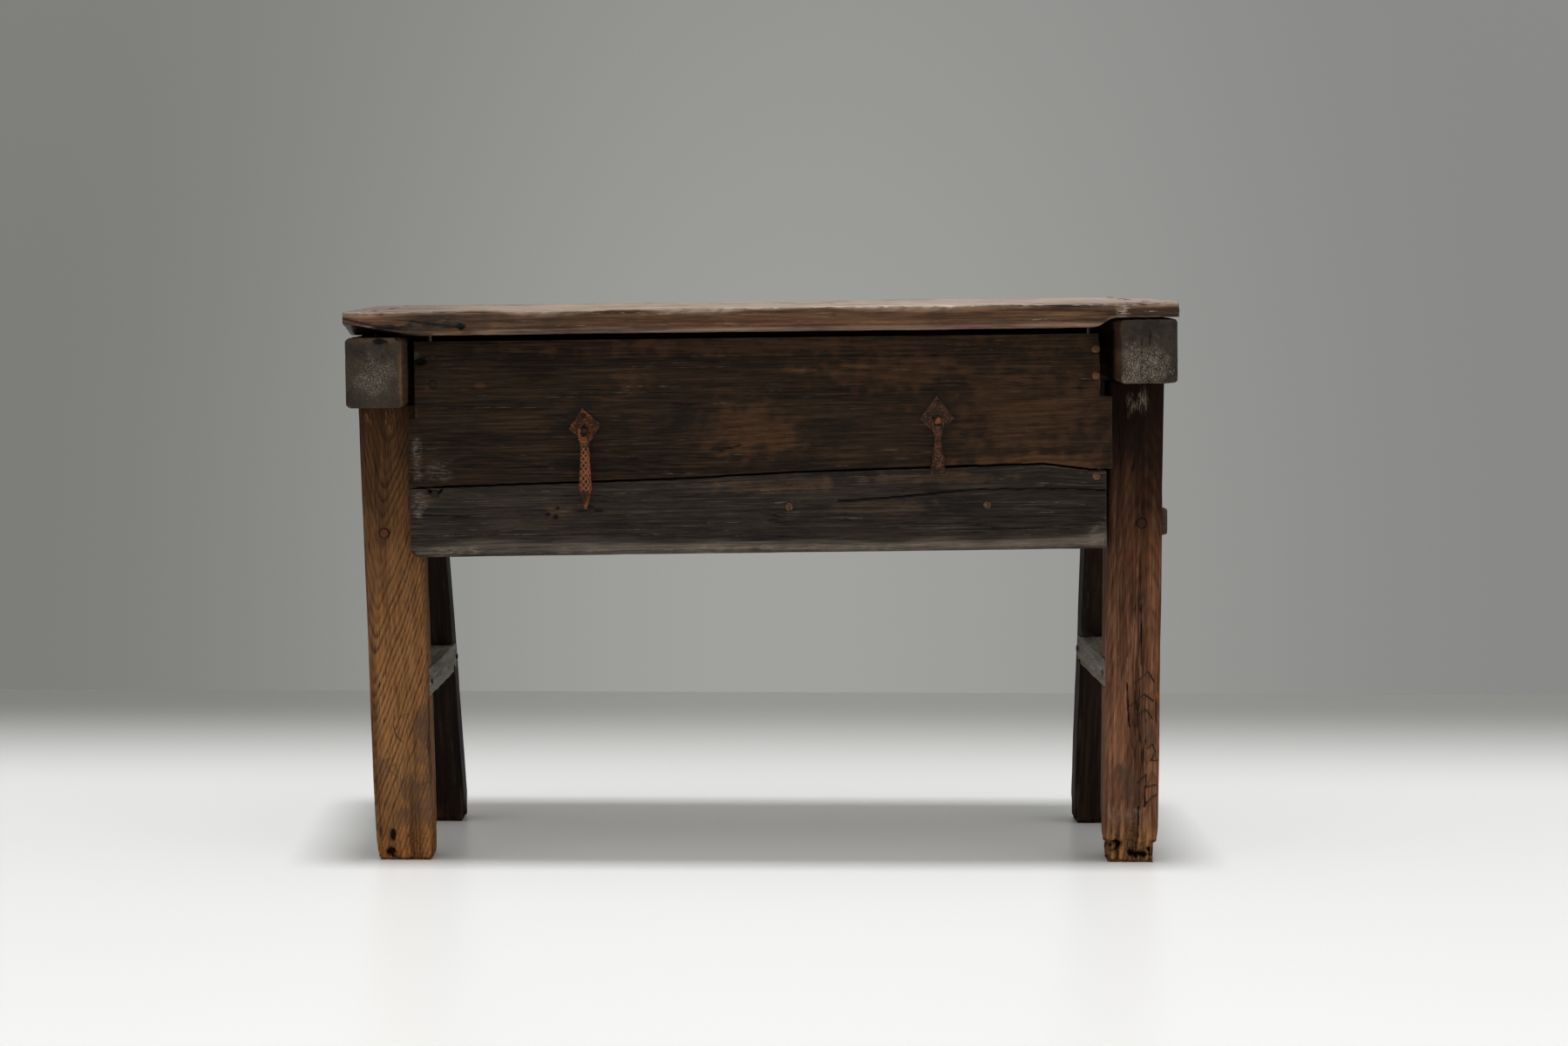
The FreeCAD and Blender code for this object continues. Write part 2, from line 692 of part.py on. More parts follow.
def drawer_front_nails():
    """Nails through the front into the sides, flush at the left, and into the edge of the bottom."""
    y, inward = drawer_front_face(), Vector(0, 1, 0)
    nails = []
    upper = drawer_side_top() - SIDE_NAIL_DROP
    for side, split, sink in ((LEFT, SPLIT_LEFT, HEAD_SINK), (RIGHT, SPLIT_RIGHT, 0.0)):
        x = drawer_box_side(side) - side * DRAWER_SIDE_THICKNESS / 2
        for level in (upper, upper - SIDE_NAIL_PITCH, split_level(split) - SPLIT_NAIL_DROP):
            nails.append(nail(Vector(x, y, level), inward, FRONT_NAIL_LENGTH, BIG_HEAD_RADIUS, sink))
    for step in (-1, 0, 1):
        x = BOTTOM_NAIL_SHIFT + step * BOTTOM_NAIL_SPREAD
        place = Vector(x, y, rail_top() + DRAWER_BOTTOM_THICKNESS / 2)
        nails.append(nail(place, inward, FRONT_NAIL_LENGTH, BIG_HEAD_RADIUS))
    return nails


def drawer_box_nails():
    """Flush nails through the sides into the back, and up through the bottom boards into the sides."""
    nails = []
    back = drawer_box_back() - DRAWER_BACK_THICKNESS / 2
    eighth = (drawer_box_back() - drawer_front_back()) / 8
    middle = (drawer_front_back() + drawer_box_back()) / 2
    for side in (LEFT, RIGHT):
        face = drawer_box_side(side)
        back_top = drawer_side_top() - DRAWER_BACK_DROP
        for level in (drawer_floor() + INNER_NAIL_EDGE, back_top - INNER_NAIL_EDGE):
            place = Vector(face, back, level)
            nails.append(nail(place, Vector(-side, 0, 0), BOX_NAIL_LENGTH, SMALL_HEAD_RADIUS, HEAD_SINK))
        for step in (-3, -1, 1, 3):
            place = Vector(face - side * DRAWER_SIDE_THICKNESS / 2, middle + step * eighth, rail_top())
            nails.append(nail(place, UP, BOX_NAIL_LENGTH, SMALL_HEAD_RADIUS, HEAD_SINK))
    return nails


# Pulls

def eye_centre(pull):
    """Centre of the pin that a drop swings on."""
    y = drawer_front_face() - PLATE_THICKNESS - EYE_STANDOFF
    return Vector(pull.x, y, drawer_bottom() + pull.eye_level)


def plate_centre(pull):
    """Where the diagonals of a backplate cross, on the face of the drawer front."""
    return Vector(pull.x, drawer_front_face(), drawer_bottom() + pull.plate_level)


def turned(pull, shape):
    """A piece of the backplate, turned in the plane of the drawer front as the plate is."""
    shape.rotate(plate_centre(pull), Vector(0, 1, 0), -pull.turn)
    return shape


def pull_plate(pull):
    """Lozenge-shaped backplate."""
    centre = plate_centre(pull)
    corners = [centre - Vector(pull.half_width, 0, 0), centre - Vector(0, 0, pull.fall),
               centre + Vector(pull.half_width, 0, 0), centre + Vector(0, 0, pull.rise)]
    return turned(pull, plate(corners, Vector(0, -PLATE_THICKNESS, 0)))


def pull_strap(pull):
    """Eye strap: a strip bent round the pin, with both leaves through the front and clinched behind it."""
    eye = eye_centre(pull)
    x0, x1 = eye.x - STRAP_WIDTH / 2, eye.x + STRAP_WIDTH / 2
    hole = PIN_RADIUS + PIN_CLEARANCE
    behind = drawer_front_back()
    start, along = Vector(x0, eye.y, eye.z), Vector(1, 0, 0)
    ring = Part.makeCylinder(hole + EYE_WALL, STRAP_WIDTH, start, along)
    leaves = block(x0, x1, eye.y, behind + STRAP_LEAF, eye.z - STRAP_LEAF, eye.z + STRAP_LEAF)
    tails = block(x0, x1, behind, behind + STRAP_LEAF, eye.z - STRAP_TAIL, eye.z + STRAP_TAIL)
    solid = ring.fuse(leaves).fuse(tails).removeSplitter()
    return solid.cut(Part.makeCylinder(hole, STRAP_WIDTH, start, along))


def plate_nail(pull):
    """Nail through the upper corner of a backplate."""
    place = plate_centre(pull) + Vector(0, -PLATE_THICKNESS, pull.rise - PLATE_NAIL_INSET)
    return turned(pull, nail(place, Vector(0, 1, 0), PLATE_NAIL_LENGTH, SMALL_HEAD_RADIUS))


def octagon(centre, fall, width, thickness):
    """A section of a drop: a rectangle with its corners taken off, level, below the pin."""
    x, y, cut = width / 2, thickness / 2, min(width, thickness) / 4
    corners = ((cut - x, -y), (x - cut, -y), (x, cut - y), (x, y - cut),
               (x - cut, y), (cut - x, y), (-x, y - cut), (-x, cut - y))
    return [centre + Vector(across, deep, -fall) for across, deep in corners]


def drop_pin(pull):
    """Rivet across the fork of a drop."""
    eye = eye_centre(pull)
    return Part.makeCylinder(PIN_RADIUS, HEAD_WIDTH, eye - Vector(HEAD_WIDTH / 2, 0, 0), Vector(1, 0, 0))


def collars(neck):
    """Sections of the two collars between the head of a drop and its neck."""
    rings = []
    pitch = (neck.fall - HEAD_LENGTH) / 5
    for step in range(5):
        step_in = COLLAR_STEP if step % 2 else 2 * COLLAR_STEP
        fall = HEAD_LENGTH + step * pitch
        rings.append(Section(fall, HEAD_WIDTH - step_in, 2 * HEAD_RADIUS + COLLAR_STEP - step_in))
    return rings


def drop(pull):
    """A forged drop: a forked head with a round top, two collars and a faceted shaft."""
    eye = eye_centre(pull)
    x0, x1 = eye.x - HEAD_WIDTH / 2, eye.x + HEAD_WIDTH / 2
    head = Part.makeCylinder(HEAD_RADIUS, HEAD_WIDTH, Vector(x0, eye.y, eye.z), Vector(1, 0, 0))
    head = head.fuse(block(x0, x1, eye.y - HEAD_RADIUS, eye.y + HEAD_RADIUS, eye.z - HEAD_LENGTH, eye.z))
    half_slot = STRAP_WIDTH / 2 + SLOT_CLEARANCE
    slot = block(eye.x - half_slot, eye.x + half_slot, eye.y - 2 * HEAD_RADIUS, eye.y + 2 * HEAD_RADIUS,
                 eye.z - SLOT_FLOOR, eye.z + 2 * HEAD_RADIUS)
    fork = head.removeSplitter().cut(slot).cut(drop_pin(pull))
    profile = collars(pull.sections[0]) + list(pull.sections)
    shaft = lofted([octagon(eye, *section) for section in profile])
    return fork.fuse(shaft).removeSplitter()


# Assembly

def make_frame():
    """Every fixed piece of the table, with its joints cut."""
    posts = {leg.name: leg_post(leg) for leg in LEGS}
    tenons = {leg.name: leg_tenon(leg) for leg in LEGS}
    pegs = {leg.name: rail_peg(leg) for leg in LEGS}
    bars = {LEFT: stretcher_bar(LEFT), RIGHT: stretcher_bar(RIGHT)}
    lap_nails, plank_nails, board_nails = stretcher_nails(), top_nails(), back_board_nails()
    runners = {"left_runner": runner(LEFT), "right_runner": runner(RIGHT)}
    pieces = {name: without(shape, plank_nails) for name, shape in make_top().items()}
    for name, beam in make_beams().items():
        pieces[name] = without(beam, list(tenons.values()) + plank_nails)
    for leg in LEGS:
        post = eased(posts[leg.name], LEG_EDGE_ROUND, runs_up)
        cutters = [rail_tenon(leg.end), bars[leg.side], pegs[leg.name]] + lap_nails + board_nails
        pieces[leg.name] = without(post.fuse(tenons[leg.name]).removeSplitter(), cutters)
    for name, side in (("left_stretcher", LEFT), ("right_stretcher", RIGHT)):
        pieces[name] = without(bars[side], lap_nails)
    for name, end in (("front_rail", FRONT), ("back_rail", BACK)):
        pieces[name] = without(rail(end, posts.values()), list(pegs.values()) + list(runners.values()))
    pieces.update(runners)
    pieces["back_board"] = without(back_board(), board_nails)
    pieces["rail_pegs"] = Part.makeCompound(list(pegs.values()))
    pieces["top_nails"] = Part.makeCompound(plank_nails)
    pieces["stretcher_nails"] = Part.makeCompound(lap_nails)
    pieces["back_board_nails"] = Part.makeCompound(board_nails)
    return pieces


def make_drawer():
    """The drawer with its pulls, closed."""
    front_nails, box_nails = drawer_front_nails(), drawer_box_nails()
    plate_nails = [plate_nail(pull) for pull in PULLS]
    straps = {pull.name + "_pull_strap": pull_strap(pull) for pull in PULLS}
    cutters = front_nails + box_nails + plate_nails + list(straps.values())
    boards = {**drawer_front(), **drawer_box()}
    for pull in PULLS:
        boards[pull.name + "_pull_plate"] = pull_plate(pull)
    pieces = {name: without(shape, cutters) for name, shape in boards.items()}
    pieces.update(straps)
    pieces["drawer_front_nails"] = Part.makeCompound(front_nails)
    pieces["drawer_box_nails"] = Part.makeCompound(box_nails)
    pieces["pull_plate_nails"] = Part.makeCompound(plate_nails)
    for pull in PULLS:
        pieces[pull.name + "_drop"] = drop(pull)
        pieces[pull.name + "_drop_pin"] = drop_pin(pull)
    return pieces


def lean(shape):
    """Tips a piece about the middle of the top, so that the right side of the table stands higher."""
    leaned = shape.copy()
    leaned.rotate(Vector(0, 0, TOP_HEIGHT), Vector(0, 1, 0), -LEAN_ANGLE)
    return leaned


def worn_foot(leg_shape):
    """A leg sawn off level with the floor, with the arris of its foot worn away."""
    box = leg_shape.BoundBox
    ground = block(box.XMin - OVERCUT, box.XMax + OVERCUT, box.YMin - OVERCUT, box.YMax + OVERCUT,
                   box.ZMin - OVERCUT, 0.0)
    leg_shape = leg_shape.cut(ground)
    foot = [edge for edge in leg_shape.Edges if edge.BoundBox.ZMax < FOOT_WEAR / 2]
    return leg_shape.makeChamfer(FOOT_WEAR, foot)


def centred(pieces):
    """Moves the table so that its origin is on the floor, in the middle of its outline."""
    box = Part.makeCompound(list(pieces.values())).BoundBox
    for shape in pieces.values():
        shape.translate(Vector(-(box.XMin + box.XMax) / 2, -(box.YMin + box.YMax) / 2, 0))


def make_table():
    pieces = {name: lean(shape) for name, shape in {**make_frame(), **make_drawer()}.items()}
    for leg in LEGS:
        pieces[leg.name] = worn_foot(pieces[leg.name])
    centred(pieces)
    return pieces


def main():
    os.makedirs("parts", exist_ok=True)
    for name, shape in make_table().items():
        Part.makeCompound(shape.Solids).exportStep(os.path.join("parts", name + ".step"))


if __name__ == "__main__":
    main()
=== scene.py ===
"""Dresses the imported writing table: worn timbers, forged pulls and nails, a plain studio and the camera."""
import logging
import math
from dataclasses import dataclass, field, replace
from enum import Enum
from itertools import product
from typing import Any, ClassVar, Union

import bpy
import numpy as np
from mathutils import Matrix, Vector


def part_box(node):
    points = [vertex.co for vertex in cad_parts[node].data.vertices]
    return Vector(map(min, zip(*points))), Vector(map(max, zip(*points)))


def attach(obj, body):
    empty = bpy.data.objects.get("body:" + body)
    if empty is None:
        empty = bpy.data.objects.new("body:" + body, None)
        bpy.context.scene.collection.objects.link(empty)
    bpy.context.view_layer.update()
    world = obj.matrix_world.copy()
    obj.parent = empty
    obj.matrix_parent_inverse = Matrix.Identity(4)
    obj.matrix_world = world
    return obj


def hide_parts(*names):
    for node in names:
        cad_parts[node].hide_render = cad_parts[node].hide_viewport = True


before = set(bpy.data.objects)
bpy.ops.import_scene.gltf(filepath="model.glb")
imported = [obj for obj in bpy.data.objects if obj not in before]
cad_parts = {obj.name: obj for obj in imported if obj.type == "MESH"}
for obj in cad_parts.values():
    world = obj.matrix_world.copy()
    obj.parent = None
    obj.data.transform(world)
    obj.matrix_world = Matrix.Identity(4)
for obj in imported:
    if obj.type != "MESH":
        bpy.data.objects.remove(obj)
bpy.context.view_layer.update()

Array = np.ndarray
Pair = tuple[float, float]
Triple = tuple[float, float, float]
Colour = tuple[float, float, float]
Socket = bpy.types.NodeSocket
Number = Union["Signal", float]
log = logging.getLogger("writing_table")

LEAN = math.radians(1.0)
SPLAY = math.radians(4.0)
ALONG_TABLE = (math.cos(LEAN), 0.0, math.sin(LEAN))
ACROSS_TABLE = (0.0, 1.0, 0.0)
UP_TABLE = (-math.sin(LEAN), 0.0, math.cos(LEAN))
TABLE_SHIFT = 0.0017717
TABLE_LEVEL = 0.738


class Body(Enum):
    """The moving bodies of the table."""

    FRAME = "frame"
    DRAWER = "drawer"
    LEFT_DROP = "left_drop"
    RIGHT_DROP = "right_drop"


class Slot(Enum):
    """The record's material slots."""

    TOP = "top_planks"
    BEAMS = "beams"
    LEGS = "legs"
    STRETCHERS = "stretchers"
    INNER = "inner_wood"
    FRONT = "drawer_front"
    IRON = "forged_iron"


class Side(Enum):
    """The left and the right of the table, as seen from the front."""

    LEFT = -1
    RIGHT = 1


class End(Enum):
    """The front and the back of the table."""

    FRONT = -1
    BACK = 1


class Tint(Enum):
    """Changes of colour that a timber's mesh carries, by their place in the vector. The stain also carries
    painted shade in holes, cracks, rotted hollows and the facet under the top's left end.
    """

    STAIN = 0
    SCUFF = 1
    AMBER = 2


def tone(red: int, green: int, blue: int) -> Colour:
    """Turns a display colour into a linear one.

    Args:
        red: Red from 0 to 255.
        green: Green from 0 to 255.
        blue: Blue from 0 to 255.

    Returns:
        The linear colour that shaders take.
    """
    parts = [value / 255 for value in (red, green, blue)]
    return tuple(p / 12.92 if p <= 0.04045 else ((p + 0.055) / 1.055) ** 2.4 for p in parts)


# Shader maths

class Signal:
    """A number that varies over a surface. Arithmetic on it adds Math nodes."""

    def __init__(self, graph: "Graph", socket: Socket) -> None:
        """Wraps a socket of a graph."""
        self.graph, self.socket = graph, socket

    def maths(self, operation: str, *values: Number) -> "Signal":
        """Adds a Math node on the values."""
        return self.graph.signal("ShaderNodeMath", {"operation": operation}, dict(enumerate(values)))

    def __add__(self, other: Number) -> "Signal":
        """The sum."""
        return self.maths("ADD", self, other)

    def __sub__(self, other: Number) -> "Signal":
        """The difference."""
        return self.maths("SUBTRACT", self, other)

    def __rsub__(self, other: Number) -> "Signal":
        """The difference from a number."""
        return self.maths("SUBTRACT", other, self)

    def __mul__(self, other: Number) -> "Signal":
        """The product."""
        return self.maths("MULTIPLY", self, other)

    def __truediv__(self, other: Number) -> "Signal":
        """The quotient."""
        return self.maths("DIVIDE", self, other)

    __radd__, __rmul__ = __add__, __mul__

    def power(self, exponent: float) -> "Signal":
        """Raises to a power."""
        return self.maths("POWER", self, exponent)

    def absolute(self) -> "Signal":
        """Drops the sign."""
        return self.maths("ABSOLUTE", self)

    def fraction(self) -> "Signal":
        """Keeps what lies past the last whole number."""
        return self.maths("FRACT", self)

    def most(self, other: Number) -> "Signal":
        """The larger of two."""
        return self.maths("MAXIMUM", self, other)

    def band(self, low: Number, high: Number) -> "Signal":
        """Rises smoothly from 0 at low to 1 at high."""
        return self.graph.signal("ShaderNodeMapRange", {"interpolation_type": "SMOOTHSTEP"},
                                 {"Value": self, "From Min": low, "From Max": high})


class Graph:
    """The node tree of one finish."""

    def __init__(self, name: str) -> None:
        """Starts an empty material.

        Args:
            name: The material's name.
        """
        self.material = bpy.data.materials.new(name)
        self.material.use_nodes = True
        self.tree = self.material.node_tree
        self.tree.nodes.clear()

    def node(self, kind: str, settings: dict[str, Any] | None = None,
             sockets: dict[Any, Any] | None = None) -> bpy.types.Node:
        """Adds a node.

        Args:
            kind: The node's type.
            settings: Its settings, which are set first.
            sockets: Values or links of its sockets, by name or number.

        Returns:
            The new node.
        """
        made = self.tree.nodes.new(kind)
        for name, value in (settings or {}).items():
            setattr(made, name, value)
        for key, value in (sockets or {}).items():
            socket = made.inputs[key]
            value = value.socket if isinstance(value, Signal) else value
            if isinstance(value, Socket):
                self.tree.links.new(value, socket)
            elif socket.type == "RGBA" and len(value) == 3:
                socket.default_value = (*value, 1.0)
            else:
                socket.default_value = value
        return made

    def signal(self, kind: str, settings: dict[str, Any] | None = None,
               sockets: dict[Any, Any] | None = None, output: int | str = 0) -> Signal:
        """Adds a node and wraps one of its outputs."""
        return Signal(self, self.node(kind, settings, sockets).outputs[output])

    def attribute(self, name: str) -> Socket:
        """A vector that the mesh carries."""
        return self.node("ShaderNodeAttribute", {"attribute_name": name}).outputs["Vector"]

    def split(self, vector: Socket) -> list[Signal]:
        """The three parts of a vector."""
        parts = self.node("ShaderNodeSeparateXYZ", None, {0: vector})
        return [Signal(self, socket) for socket in parts.outputs]

    def scaled(self, vector: Socket, factors: Triple) -> Socket:
        """A vector stretched along its three axes."""
        stretch = self.node("ShaderNodeVectorMath", {"operation": "MULTIPLY"}, {0: vector, 1: factors})
        return stretch.outputs[0]

    def noise(self, vector: Socket, factors: Triple, detail: float = 3.0,
              rough: float = 0.55) -> Signal:
        """Cloudy noise with so many waves to the metre along the three axes."""
        return self.signal("ShaderNodeTexNoise", None, {
            "Vector": self.scaled(vector, factors), "Scale": 1.0, "Detail": detail, "Roughness": rough})

    def mix(self, share: Number, first: Any, second: Any, blend: str = "MIX") -> Socket:
        """A colour between two colours."""
        return self.node("ShaderNodeMix", {"data_type": "RGBA", "blend_type": blend},
                         {0: share, 6: first, 7: second}).outputs[2]

    def finish(self, shader: bpy.types.Node) -> bpy.types.Material:
        """Joins a shader to the material's output."""
        self.node("ShaderNodeOutputMaterial", None, {"Surface": shader.outputs[0]})
        return self.material


# Finishes

@dataclass(frozen=True)
class Rings:
    """Growth rings round a pith that slants through the timber."""

    pith: Pair = (0.02, -0.12)
    drift: float = 0.0
    taper: float = 0.03
    gap: float = 0.007
    sway: float = 0.012
    share: float = 0.45

    def lines(self, graph: Graph, place: Socket, grain: Socket) -> Signal:
        """The dark late wood of each ring.

        Args:
            graph: The node tree.
            place: The place in the timber.
            grain: The same place, moved on for the noise.

        Returns:
            How far a point lies in late wood, from 0 to 1.
        """
        along, across, out = graph.split(place)
        swing = graph.noise(grain, (2.6, 14, 14), 3) - 0.5
        ripple = graph.noise(grain, (15, 70, 70), 3) - 0.5
        side = across - self.pith[0] - along * self.drift + swing * self.sway
        deep = out - self.pith[1] + swing * (self.sway * 0.5)
        radius = (side * side + deep * deep).power(0.5)
        crowd = graph.noise(grain, (3, 45, 45), 2) - 0.5
        count = (radius + along * self.taper) / self.gap + ripple * 0.6 + crowd * 1.3
        ring, year = count.fraction(), count.maths("FLOOR", count)
        strength = graph.signal("ShaderNodeTexWhiteNoise", {"noise_dimensions": "1D"}, {"W": year})
        line = ring.band(0.25, 0.82) * (1 - ring.band(0.88, 1.0))
        vessels = graph.noise(grain, (60, 420, 420), 2).band(0.36, 0.60)
        return line * (0.35 + strength * 0.65) * (0.55 + vessels * 0.45) * self.share


@dataclass(frozen=True)
class WoodFinish:
    """Old wood, shaded in the axes of its own grain: along, across and out of the face."""

    name: str
    dark: Colour
    mid: Colour
    pale: Colour
    worn: Colour
    amber: Colour = tone(120, 78, 44)
    end: Colour = tone(78, 68, 58)
    rot: Colour = tone(150, 98, 56)
    # Soot, for pores, grime and cracks. It is also the colour of painted shade on the legs, in holes and
    # cracks, and under the top's left end.
    soot_and_shade: Colour = tone(20, 17, 14)
    bruise: Colour = tone(28, 22, 18)
    rings: Rings = Rings()
    streaks: float = 0.8
    fine: float = 1.0
    cracks: float = 0.35
    grime: float = 0.4
    # Painted shade: between these two places along the grain the colour darkens by the share below. It stands
    # for the shade under the beam and the top, with some of the wood's own darker top.
    painted_shade_from: float = 9.0
    painted_shade_to: float = 10.0
    painted_shade: float = 0.0
    roughness: float = 0.56
    gloss: float = 0.12
    relief: float = 0.8

    def crack_lines(self, graph: Graph, grain: Socket) -> Signal:
        """Thin drying cracks along the grain, in patches.

        Args:
            graph: The node tree.
            grain: The place in the wood.

        Returns:
            How far a point lies in a crack, from 0 to 1.
        """
        wave = graph.noise(grain, (4.0, 62, 62), 4, 0.6)
        patch = graph.noise(grain, (6.5, 26, 26), 2)
        line = 1 - (wave - 0.5).absolute().band(0.002, 0.014)
        return line * patch.band(0.72 - 0.4 * self.cracks, 0.80 - 0.4 * self.cracks)

    def material(self) -> bpy.types.Material:
        """Builds the material.

        Returns:
            The finished material.
        """
        graph = Graph(self.name)
        place, grain = graph.attribute("place"), graph.attribute("grain")
        wear, rot, end = graph.split(graph.attribute("state"))
        stain, scuff, amber = graph.split(graph.attribute("tints"))
        late = self.rings.lines(graph, place, grain)
        crack = self.crack_lines(graph, grain)
        broad = graph.noise(grain, (2.2, 26, 26), 5, 0.62)
        streak = graph.noise(grain, (7, 170 * self.fine, 170 * self.fine), 4, 0.62)
        fibre = graph.noise(grain, (24, 700, 700), 3, 0.62)
        cloud = graph.noise(grain, (9, 18, 18), 5, 0.64)
        mottle = graph.noise(grain, (55, 70, 70), 4, 0.64)
        fleck = graph.noise(grain, (420, 640, 640), 2, 0.7).band(0.54, 0.68)
        grit = graph.noise(grain, (300, 480, 480), 2, 0.7)
        dash = graph.noise(grain, (90, 520, 520), 2).band(0.50, 0.62)
        pore = graph.noise(grain, (46, 880, 880), 1).band(0.60, 0.68)
        scratch = graph.noise(grain, (11, 560, 560), 2).band(0.64, 0.70) * mottle.band(0.46, 0.62)

        colour = graph.mix(broad.band(0.32, 0.68), self.dark, self.mid)
        colour = graph.mix(amber * (streak * 0.5 + cloud * 0.9).band(0.40, 0.90), colour, self.amber)
        colour = graph.mix(streak.band(0.44, 0.72) * self.streaks, colour, self.pale)
        colour = graph.mix(late * (0.55 + broad * 0.8), colour, self.dark)
        colour = graph.mix(fibre.band(0.38, 0.75) * 0.30, colour, self.pale)
        colour = graph.mix(pore * 0.45, colour, self.soot_and_shade)
        colour = graph.mix(scratch * 0.35, colour, self.worn)
        colour = graph.mix(cloud.band(0.50, 0.70) * self.grime, colour, self.soot_and_shade)
        bruised = stain.band(0.0, 0.8) * (streak * 0.6 + mottle * 0.7 + fibre * 0.4).band(0.55, 1.05)
        colour = graph.mix(bruised, colour, self.bruise)
        bare = graph.mix(mottle.band(0.40, 0.72) * 0.6, self.end, self.soot_and_shade)
        bare = graph.mix(grit.band(0.45, 0.62) * 0.5, bare, self.soot_and_shade)
        bare = graph.mix(fleck * (0.12 + scuff * 0.75), bare, self.worn)
        bare = graph.mix(amber * mottle.band(0.25, 0.60), bare, self.amber)
        bare = graph.mix(bruised, bare, self.bruise)
        colour = graph.mix(end * 0.9, colour, bare)
        frayed = graph.mix((streak + grit * 0.5).band(0.55, 0.95), self.dark, self.rot)
        frayed = graph.mix(late * 0.7, frayed, self.dark)
        colour = graph.mix(rot * (mottle + cloud * 0.6).band(0.40, 0.95), colour, frayed)
        # Strong stain turns to soot: real stains, and the painted shade of holes, cracks and hollows.
        colour = graph.mix(stain.band(0.6, 1.0), colour, self.soot_and_shade)
        # Pale where worn. On the top planks this channel also carries the painted sheen of the upper face and
        # the painted highlight of the arris.
        rubbed = wear * (streak * 0.7 + broad * 0.5 + fibre * 0.4).band(0.50, 1.00)
        colour = graph.mix(rubbed, colour, self.worn)
        # Painted shade: darker towards the upper end of a leg along its grain. It stands for the shade under
        # the beam and the top, with some of the wood's own darker top.
        shaded = graph.split(place)[0] + (cloud - 0.5) * 0.2
        colour = graph.mix(shaded.band(self.painted_shade_from, self.painted_shade_to) * self.painted_shade, colour, self.soot_and_shade)
        chalky = scuff * (dash * 0.5 + fleck * 0.3 + mottle.band(0.45, 0.75) * 0.3)
        colour = graph.mix(chalky, colour, self.worn)
        colour = graph.mix(crack * 0.85, colour, self.soot_and_shade)

        roughness = self.roughness + (fibre - 0.5) * 0.18 + rot * 0.25 + end * 0.15 + (cloud - 0.5) * 0.2
        height = fibre * 0.22 + streak * 0.5 + late * 0.3 - crack * 1.6 - pore * 0.25 + mottle * end * 0.6
        bump = graph.node("ShaderNodeBump", None, {
            "Strength": self.relief, "Distance": 0.0011, "Height": height})
        shader = graph.node("ShaderNodeBsdfPrincipled", None, {
            "Base Color": colour, "Roughness": roughness, "Normal": bump.outputs[0],
            "Specular IOR Level": self.gloss})
        return graph.finish(shader)


@dataclass(frozen=True)
class IronFinish:
    """Forged iron under rust, pale on its edges, with painted shade black in its hollows."""

    name: str
    iron: Colour
    rust: Colour
    bloom: Colour
    rusted: float = 0.6
    right_rust: float = 0.0

    def material(self) -> bpy.types.Material:
        """Builds the material.

        Returns:
            The finished material.
        """
        graph = Graph(self.name)
        place = graph.node("ShaderNodeTexCoord").outputs["Object"]
        edge, hollow, ridge = graph.split(graph.attribute("state"))
        patch = graph.noise(place, (70, 70, 70), 5, 0.65)
        scale = graph.noise(place, (420, 420, 420), 4, 0.65)
        pit = graph.noise(place, (900, 900, 900), 2, 0.5)
        lean = graph.split(place)[0].band(-0.12, 0.04) * self.right_rust
        rust = (patch + (scale - 0.5) * 0.5 + lean).band(0.66 - 0.4 * self.rusted, 0.86 - 0.4 * self.rusted)
        colour = graph.mix(rust, self.iron, self.rust)
        colour = graph.mix(rust * scale.band(0.50, 0.68) * 0.8, colour, self.bloom)
        colour = graph.mix((edge * rust * 0.6).most(ridge * 0.75), colour, self.bloom)
        # Painted shade: black in the hollows of the iron.
        colour = graph.mix(hollow * 0.85, colour, tone(16, 11, 8))
        colour = graph.mix(pit.band(0.60, 0.72) * 0.6, colour, self.iron)
        height = scale * 0.7 + pit * 0.4 - rust * 0.3
        bump = graph.node("ShaderNodeBump", None, {"Strength": 0.6, "Distance": 0.0006, "Height": height})
        shader = graph.node("ShaderNodeBsdfPrincipled", None, {
            "Base Color": colour, "Roughness": 0.5 + rust * 0.3, "Metallic": 0.3 - rust * 0.25,
            "Normal": bump.outputs[0], "Specular IOR Level": 0.15})
        return graph.finish(shader)


Finish = WoodFinish | IronFinish


# Worn meshes

def lattice(points: Array, seed: int) -> Array:
    """Smooth random values, one wave to the unit.

    Args:
        points: Places, one row each.
        seed: Which random field to read.

    Returns:
        A value from -1 to 1 for each place.
    """
    cell = np.floor(points).astype(np.int64)
    ease = points - cell
    ease = ease * ease * (3 - 2 * ease)
    total = np.zeros(len(points))
    for corner in product((0, 1), repeat=3):
        key = ((cell + corner) * (73856093, 19349663, 83492791)).sum(1) + seed * 2654435761
        key = (key ^ (key >> 13)) * 1274126177 & 0xFFFFFFFF
        key = (key ^ (key >> 16)) * 668265263 & 0xFFFFFFFF
        weight = np.where(corner, ease, 1 - ease).prod(1)
        total += weight * (((key >> 8) & 0xFFFF) / 32767.5 - 1)
    return total


def cloudy(points: Array, size: Triple, seed: int, octaves: int = 3) -> Array:
    """Layered smooth noise.

    Args:
        points: Places in metres.
        size: Length of a wave along each axis, in metres.
        seed: Which random field to read.
        octaves: How many layers, each half the size and strength of the last.

    Returns:
        A value from about -1 to 1 for each place.
    """
    scaled = points / np.array(size)
    layers = [lattice(scaled * 2 ** level, seed + 31 * level) / 2 ** level for level in range(octaves)]
    return sum(layers) / 1.4


def smooth(values: Array, low: float, high: float) -> Array:
    """Rises smoothly from 0 at low to 1 at high."""
    t = np.clip((values - low) / (high - low), 0, 1)
    return t * t * (3 - 2 * t)


def table_place(points: Array) -> Array:
    """Places in the frame of the leaning table.

    Args:
        points: Places in the row frame.

    Returns:
        Columns to the right, to the back and up.
    """
    turned = (points - (TABLE_SHIFT, 0, TABLE_LEVEL)) @ np.array([ALONG_TABLE, ACROSS_TABLE, UP_TABLE]).T
    return turned + (0, 0, TABLE_LEVEL)


